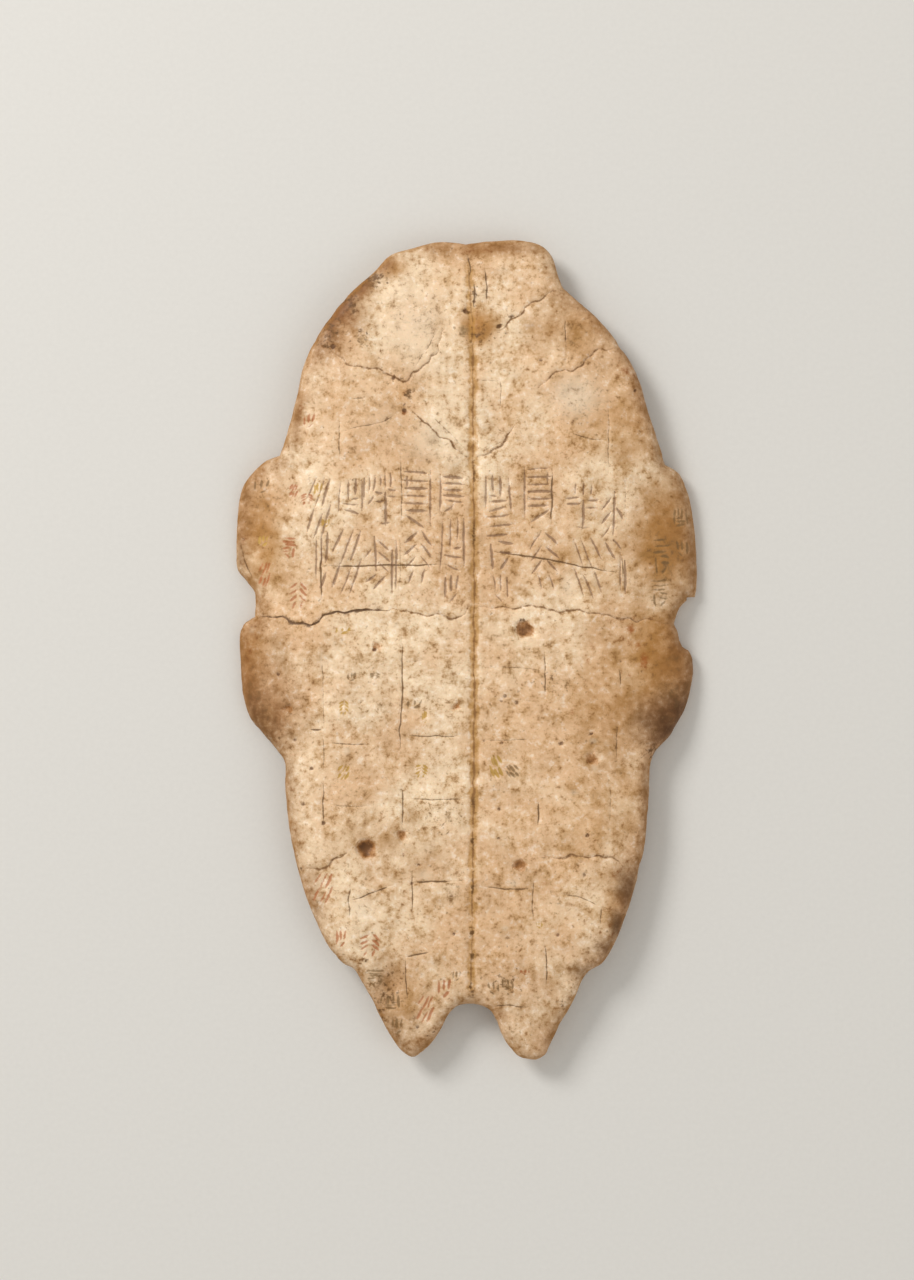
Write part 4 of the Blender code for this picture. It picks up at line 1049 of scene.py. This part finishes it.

# %% [markdown]
# ## Stains
#
# Each daub is an ellipse, in millimetres of the drawing: its place, its two half-sizes and its strength in
# percent. A kind of daub becomes an attribute of the mesh, which a layer of the finish reads by its name.
# The shade daubs, with the tan ones on the wings, are painted shade where the wings and the lower and right
# rims bend away from the light; along the head's left edge and top they are stain. The dark daubs are
# painted shade at the low ends of the wings and along the lower right rims, with some grime. The head's left
# plate stayed the palest, and two thin pale daubs beside the midline are a painted highlight on its lit
# flank.

# %% The daubs of each stain
DAUBS = {
    # painted shade on the wings and the lower and right rims, which bend away from the light; on the head's
    # left edge and top, stain
    "shade": (
        (-54.8, 30.8, 11.8, 25.6, 35), (-56.4, 2.6, 8.7, 12.8, 40), (-55, -10.2, 15, 17, 60),
        (-53, -17, 11, 10.5, 95), (53.8, 29.6, 12.8, 24.3, 50), (53.8, -5, 11.8, 15.4, 60),
        (51.8, -18.4, 12.3, 9.2, 100), (-36.4, 80.8, 5.6, 9.2, 70), (-31.3, 87.7, 6.7, 8.7, 85),
        (-28.2, 93.6, 4.6, 5.1, 80), (-23.6, 98.5, 5.1, 3.6, 60), (7.2, 102.6, 16.4, 2.3, 45),
        (23.1, 84.7, 8.7, 11.8, 40), (33.3, 76.5, 7.2, 8.7, 30), (-22.3, -83.2, 6.2, 8.7, 55),
        (-17.2, -98.6, 9.2, 8.7, 50), (15.4, -90.9, 11.3, 13.8, 35), (39.5, -64, 5.1, 15.4, 60),
        (34.6, -77.3, 5.6, 5.6, 60), (-44.6, 59, 2.1, 11.3, 45), (-47.4, -38.4, 2.3, 21.5, 55),
        (-40.8, -65.3, 2.8, 12.3, 50), (45.1, -38.4, 2.3, 17.9, 50), (43.6, 69.3, 3.8, 11.8, 45),
        (48.2, 53.9, 2.6, 11.8, 45), (56.9, 33.4, 3.1, 19, 50), (-59, 23.1, 3.5, 19, 40),
        (-60.2, -2.5, 2.3, 15.4, 50), (35.9, -16.6, 10.3, 17.4, 30), (-24, -18, 18, 16, 25),
        (-22, -50, 20, 14, 30), (-36, 82, 7, 10, 65), (1.5, 82, 6, 5, 50),
    ),
    # on the wings the tan is partly painted shade of their bend away from the light; elsewhere it is tan
    # stain
    "tan": (
        (-33.8, 85.9, 4.6, 7.2, 90), (-29.2, 92.3, 4.6, 5.1, 90), (-22, 98, 6, 3.6, 80),
        (39.2, 56.5, 11.5, 20.5, 55), (50.2, 28.3, 9.7, 19.2, 100), (32.8, 23.1, 14.1, 16.7, 50),
        (48.2, -2.5, 10.8, 16.7, 95), (35.4, -12.7, 12.8, 20.5, 60), (30.2, -43.5, 11.5, 15.4, 45),
        (25.1, 82.1, 10.3, 11.5, 60), (37.4, -64, 7.2, 15.4, 70), (-53.8, 28.3, 7.7, 20.5, 75),
        (-57.4, -3.8, 5.6, 15.4, 75), (-44.1, 62.9, 3.1, 14.1, 50), (-32.6, 90.3, 9, 9.7, 40),
        (1.5, 82.3, 5.6, 5.7, 100), (20.5, -89.6, 6.7, 14.1, 35), (-21, -89.6, 10.3, 12.3, 50),
        (18.7, 46.2, 7.7, 7.7, 25), (16.1, 23.1, 12.8, 15.4, 30), (6.7, 23.1, 4.6, 23.1, 25),
        (39.2, -38.4, 6.7, 15.4, 50), (-22, -50, 20, 13, 40), (2.1, 102.6, 12.8, 2.6, 70),
        (-12, -65.3, 7.2, 7.2, 35), (-17.2, 65.4, 2.3, 4.1, 60), (43.1, 74.4, 4.1, 6.7, 60),
    ),
    "olive": (
        (49.5, 21.9, 7.7, 14.1, 50), (-51.8, 37.2, 7.2, 10.3, 40), (-28.2, -4.5, 4.6, 3.1, 50),
        (-24.1, -14.8, 5.1, 1.8, 70), (-8.2, -14, 6.7, 4.1, 45), (-21, 15.5, 8.7, 3.1, 40),
        (18.7, -5.6, 14.1, 6.7, 35), (22.6, -7.6, 4.6, 4.6, 55), (-7.4, -41.7, 6.7, 4.1, 55),
        (-53.8, -10.2, 6.7, 12.8, 45), (-47.2, -16.6, 6.7, 9.2, 45), (52, -12.7, 7.2, 11.5, 50),
        (-1.8, 81.6, 2.6, 2.3, 90), (-27.7, 79.5, 2.3, 2.8, 70), (-28.7, 92.3, 6.2, 3.8, 50),
        (26.4, 79.5, 7.2, 8.2, 45), (-5.6, -61.4, 4.6, 4.1, 55), (8.5, -85, 3.6, 3.1, 50),
        (12.3, -73, 6.2, 4.6, 30), (-23.6, -84.5, 6.2, 7.2, 50), (-18.5, -97.3, 6.2, 6.2, 40),
        (11, -97.3, 6.7, 5.6, 35), (-32.6, 46.2, 6.7, 9.2, 25), (32.8, -76.8, 5.6, 5.6, 40),
        (-35.9, 82.1, 4.6, 4.6, 45), (43.1, 38.5, 4.6, 7.2, 35), (-18.5, 43.6, 7.7, 7.7, 20),
        (7.2, 23.1, 5.1, 10.3, 25),
    ),
    # painted shade at the low ends of the wings and along the lower right rims, with some grime
    "dark": (
        (52.5, -15, 8.5, 8.5, 62), (50.5, -19, 9.5, 7, 72), (57.4, -1.2, 1.5, 7.7, 50),
        (-53.5, -17, 8, 7, 45), (39.2, -60.2, 4.5, 7.2, 60), (36.9, -70.4, 2.3, 5.6, 70),
        (33.5, -76, 4.5, 4, 45), (27.5, -81.4, 4.5, 3.5, 45), (-23.6, -84, 2.6, 3.1, 40),
        (48.2, 12.9, 3.1, 3.1, 30), (-59.5, 23.1, 1.3, 7.2, 40),
    ),
    "speck": (
        (0.3, -38.5, 0.9, 1.6, 90), (0.3, -49, 0.9, 2.4, 90), (0.1, -60.5, 0.8, 2.8, 90),
        (0, -72, 0.9, 1.8, 100), (0, -78.5, 0.8, 1.6, 90), (-0.2, -86.5, 0.7, 3.5, 90), (0.5, 46, 0.7, 4, 80),
        (0.5, 30, 0.6, 6, 60), (0.6, -6, 0.7, 2.4, 60), (7.2, 82.6, 1.2, 1, 90), (10.3, 84.9, 1, 0.8, 80),
        (-18.5, 69.4, 2.3, 0.7, 80), (-16.2, 65.2, 1.4, 3.4, 75), (-33.5, 84, 1.8, 1.5, 60),
        (-26, 93, 1.8, 1.5, 50), (-37, 77.5, 2.3, 1.3, 80), (0.8, 90.2, 0.8, 3.4, 70),
        (3.9, 91.5, 0.8, 4.1, 60), (47.2, -26.1, 3.6, 2.3, 90), (-52.8, -23.5, 3.1, 2.3, 70),
        (23.3, -90.4, 2.1, 3.6, 50), (-21.8, -94.8, 1.3, 1.3, 50), (-10.3, -98.1, 1.8, 1.8, 50),
        (-28.2, -79.4, 3.6, 1.5, 55), (13.3, 7.3, 1.5, 0.9, 100), (11.8, 5.7, 1.8, 1.3, 50),
        (-1.3, 86.4, 1, 1, 90), (29.7, 85.9, 2.1, 2.3, 45), (41.8, 66.2, 0.8, 0.8, 70),
        (-35.6, 77.5, 1.8, 0.9, 60), (-20, 69.3, 1, 0.8, 60), (43.8, -5.6, 0.8, 0.8, 80),
        (-4.4, 82.1, 1, 1, 30), (7.2, 82.1, 2.1, 1.5, 35), (-44.1, -55.8, 3.1, 0.8, 50),
        (-36, 81.5, 3, 4.5, 80), (-31, 88.5, 3, 4.5, 80), (-25.5, 95, 4, 3, 80), (2.5, 80.5, 3.5, 2.5, 70),
        (-28, 79.5, 3, 3, 60), (9, -84, 4, 3.5, 60), (20, -8, 7, 4, 35), (-8, -43, 6, 4, 35),
        (-22, -88, 5, 8, 60),
    ),
    "pale": (
        (-14.6, 82.1, 9.2, 14.9, 80), (26.4, 64.9, 8, 6.5, 100), (-10.5, 53.5, 9, 7, 75),
        (34.6, 39.8, 0.8, 1.3, 90), (23.1, 27.8, 2.1, 0.8, 80), (24.6, 16.7, 2.1, 3.6, 80),
        (37.7, 14.4, 0.5, 1, 100), (31, -23.2, 1.5, 0.9, 90), (34.3, -23.8, 0.9, 1, 70),
        (-17.2, 12.9, 1.3, 1, 70), (-33.8, 21.9, 2.3, 1.8, 60), (31.5, 16.7, 1.3, 1, 60),
        (-56.4, 4.9, 0.9, 1.3, 70), (-19.2, 6.2, 0.9, 1.5, 80), (-38.4, -2.5, 0.4, 3.1, 80),
        (-7.2, 2.1, 1, 0.8, 80), (-14.4, -20.7, 1.5, 0.9, 90), (-33.8, -23.2, 1.3, 1, 80),
        (-32, -25.6, 1.3, 1.2, 90), (-34.1, -0.9, 2.1, 1.5, 50), (31.3, -30.2, 1.2, 1, 80),
        (26.1, -36.3, 1.5, 0.9, 80), (-27.9, -67.1, 3.8, 3.8, 85), (-12, -57.3, 2.8, 1.8, 70),
        (-10.5, -50.4, 2.8, 1.8, 50), (10.5, -59.4, 2.1, 1.2, 90), (8.5, -70.9, 1.2, 0.9, 90),
        (13.1, -80.4, 1.3, 0.7, 70), (17.4, -104.5, 1.3, 0.8, 70), (-4.4, -60.4, 3.6, 0.4, 90),
        (-15.1, -93.7, 1.3, 2.1, 50), (-30, -46.1, 7.2, 7.2, 30), (7.2, 2.6, 4.1, 7.2, 40),
        (-35.9, -10.2, 3.6, 7.2, 35), (-31.3, -35.8, 6.2, 4.6, 40), (-23.6, 59, 7.2, 4.6, 45),
        # the two thin daubs at x = 2.3 are a painted highlight on the midline's lit right flank
        (-41.5, 82.1, 2.8, 5.1, 30), (2.3, 2.6, 0.4, 30.8, 70), (2.3, 48.8, 0.4, 12.8, 60),
        (12.3, -92.2, 2.3, 2.3, 35),
    ),
    "rust": (
        (40.6, 5.4, 1.8, 1.4, 100), (44.1, -2.5, 1.2, 2.6, 100), (42.3, 1.3, 1.8, 1.8, 70),
        (29.5, -2.7, 1.5, 1.5, 55), (30.2, 1.6, 1.5, 1.5, 55), (40.2, -6.6, 0.8, 0.8, 80),
        (36.4, -8.4, 1, 0.8, 70), (40, 71.3, 3.3, 2.8, 60), (-17.2, 60.6, 0.8, 1, 90),
        (-17.2, 64.2, 1.3, 3.3, 50), (32.8, 89.8, 2.1, 2.6, 40), (-58.7, 28.3, 0.8, 1.5, 80),
        (7.2, 66.7, 0.7, 2.8, 50), (-3.6, -14.5, 0.7, 0.7, 100), (-24.9, 0.1, 0.9, 1, 80),
        (12.3, -55, 1.3, 0.9, 90), (-56.9, 0.1, 1.8, 5.1, 50), (-55.4, 3.2, 1.3, 2.6, 55),
        (13.6, -82.2, 1.3, 0.7, 80), (18.5, -59.4, 0.9, 1, 70), (-27.2, -52.2, 1.5, 0.8, 80),
        (25.6, -15.6, 0.5, 1.8, 65), (21.8, -72.7, 0.7, 0.7, 70), (23.3, -40.4, 0.9, 0.7, 60),
        (38.4, 2.6, 4.6, 2.3, 35), (38.4, -57.6, 3.6, 2.8, 45), (35.4, -71.7, 3.6, 4.6, 40),
        (1.3, 102.1, 8.2, 1.8, 45), (46.9, 23.1, 2.6, 3.1, 35), (38.4, 7.8, 10.3, 0.8, 50),
        (-17.2, -51.2, 0.8, 1.3, 60), (-43.6, 61.6, 1.5, 3.1, 35),
    ),
    "ochre": (
        (-33.8, 85.9, 4.1, 6.7, 70), (-29.2, 92.3, 4.1, 4.6, 70), (-22, 98, 5.6, 3.1, 70),
        (-11, 101.8, 6, 1.8, 60), (33, -32, 3, 4.6, 60), (18, 90, 8, 7, 35), (-32.8, 4.7, 2.1, 0.7, 90),
        (-32.8, -15, 1.3, 1.3, 50), (-12, -17.1, 0.7, 1.3, 60), (6.4, -28.9, 1, 1.3, 60),
        (31.5, -29.7, 2.8, 1.8, 60), (30.2, -56.1, 0.9, 0.7, 90), (17.2, -70.1, 0.9, 0.7, 80),
        (11.8, -79.9, 0.7, 0.5, 90), (43.1, 42.4, 3.6, 2.3, 35), (-28.7, 89.8, 4.6, 2.3, 45),
        (-13.3, 101.3, 4.6, 1.3, 45), (-44.1, 42.4, 1, 1, 60), (48.2, -12.7, 4.6, 4.6, 35),
        (27.7, -12.7, 6.7, 4.6, 35), (39.2, -28.1, 4.6, 7.2, 35), (39.2, -56.3, 3.1, 2.6, 40),
    ),
}


# %% Painting them into attributes
UNDERSIDE_SHARE = 0.5  # the inner face is stained alike, but less


def paint_stains(mesh):
    spots = np.empty(len(mesh.vertices) * 3, np.float32)
    mesh.vertices.foreach_get("co", spots)
    plan = spots.reshape(-1, 3)[:, :2] / DRAWN_SCALE + DRAWN_MIDDLE
    side = np.empty(len(mesh.vertices), np.float32)
    mesh.attributes["side"].data.foreach_get("value", side)
    for stain, rows in DAUBS.items():
        strongest = np.zeros(len(plan))
        for x, y, half_x, half_y, percent in rows:
            away = ((plan - (x, y)) / (half_x, half_y)) ** 2
            strongest = np.maximum(strongest, percent / 100 * np.exp(-away.sum(axis=1)))
        write_attribute(mesh, stain, strongest * np.where(side < 0, UNDERSIDE_SHARE, 1.0))


paint_stains(plastron.data)
print(f"{sum(map(len, DAUBS.values()))} daubs")

# %% [markdown]
# ## Floor, light and camera
#
# The bone lies on a plain pale table under soft studio light from the upper left, and is seen from
# straight above, as it was photographed. The table is matt card, whose faint fibres give the eye a surface
# for the shadow to lie on.

# %% The floor
FLOOR_REACH = 4.0
CARD_FIBRE, CARD, CARD_LIGHT = 1.2 * MM, "#DEDBD5", "#E4E1DB"
corners = [(x * FLOOR_REACH, y * FLOOR_REACH, 0) for x, y in ((-1, -1), (1, -1), (1, 1), (-1, 1))]
floor_mesh = bpy.data.meshes.new("floor")
floor_mesh.from_pydata(corners, [], [(0, 1, 2, 3)])
floor = new_object("floor", floor_mesh)
paper = bpy.data.materials.new("matt_studio_card")
paper.use_nodes = True
card = paper.node_tree
fibres = add(
    card, "ShaderNodeTexNoise",
    {"Vector": add(card, "ShaderNodeTexCoord", out="Object"), "Scale": 1 / CARD_FIBRE, "Detail": 2.0},
)
card_tone = add(
    card, "ShaderNodeMix", {"Factor": fibres, "A": colour(CARD), "B": colour(CARD_LIGHT)}, data_type="RGBA",
)
card.links.new(card_tone, card.nodes["Principled BSDF"].inputs["Base Color"])
card.nodes["Principled BSDF"].inputs["Roughness"].default_value = 0.9
floor_mesh.materials.append(paper)


# %% Light and camera
STUDIO_WHITE, STUDIO_STRENGTH = "#F2F0EC", 0.6  # the light that comes from all around
LIGHTS = (  # name, place, size and power of each. They face the shell.
    ("key", (-0.80, 0.75, 0.85), 0.45, 11.0),
    ("fill", (0.9, -0.5, 0.9), 0.9, 2.0),
)
for name, place_at, size, power in LIGHTS:
    lamp = bpy.data.lights.new(name, "AREA")
    lamp.size, lamp.energy = size, power
    lit = new_object(name, lamp)
    lit.location = place_at
    lit.rotation_euler = (-Vector(place_at)).to_track_quat("-Z", "Y").to_euler()
world = bpy.data.worlds.new("studio")
world.use_nodes = True
world.node_tree.nodes["Background"].inputs["Color"].default_value = colour(STUDIO_WHITE)
world.node_tree.nodes["Background"].inputs["Strength"].default_value = STUDIO_STRENGTH
bpy.context.scene.world = world
bpy.context.scene.view_settings.view_transform = "Standard"

CAMERA_PLACE = (-0.00256, 0.00256, 0.9165)  # the shell fills the frame as it did in the photo
camera_data = bpy.data.cameras.new("camera")
camera_data.lens, camera_data.sensor_width = 100, 36  # millimetres
camera = new_object("camera", camera_data)
camera.location = CAMERA_PLACE
bpy.context.scene.camera = camera

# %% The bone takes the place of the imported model's plastron
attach(plastron, "root")
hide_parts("plastron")
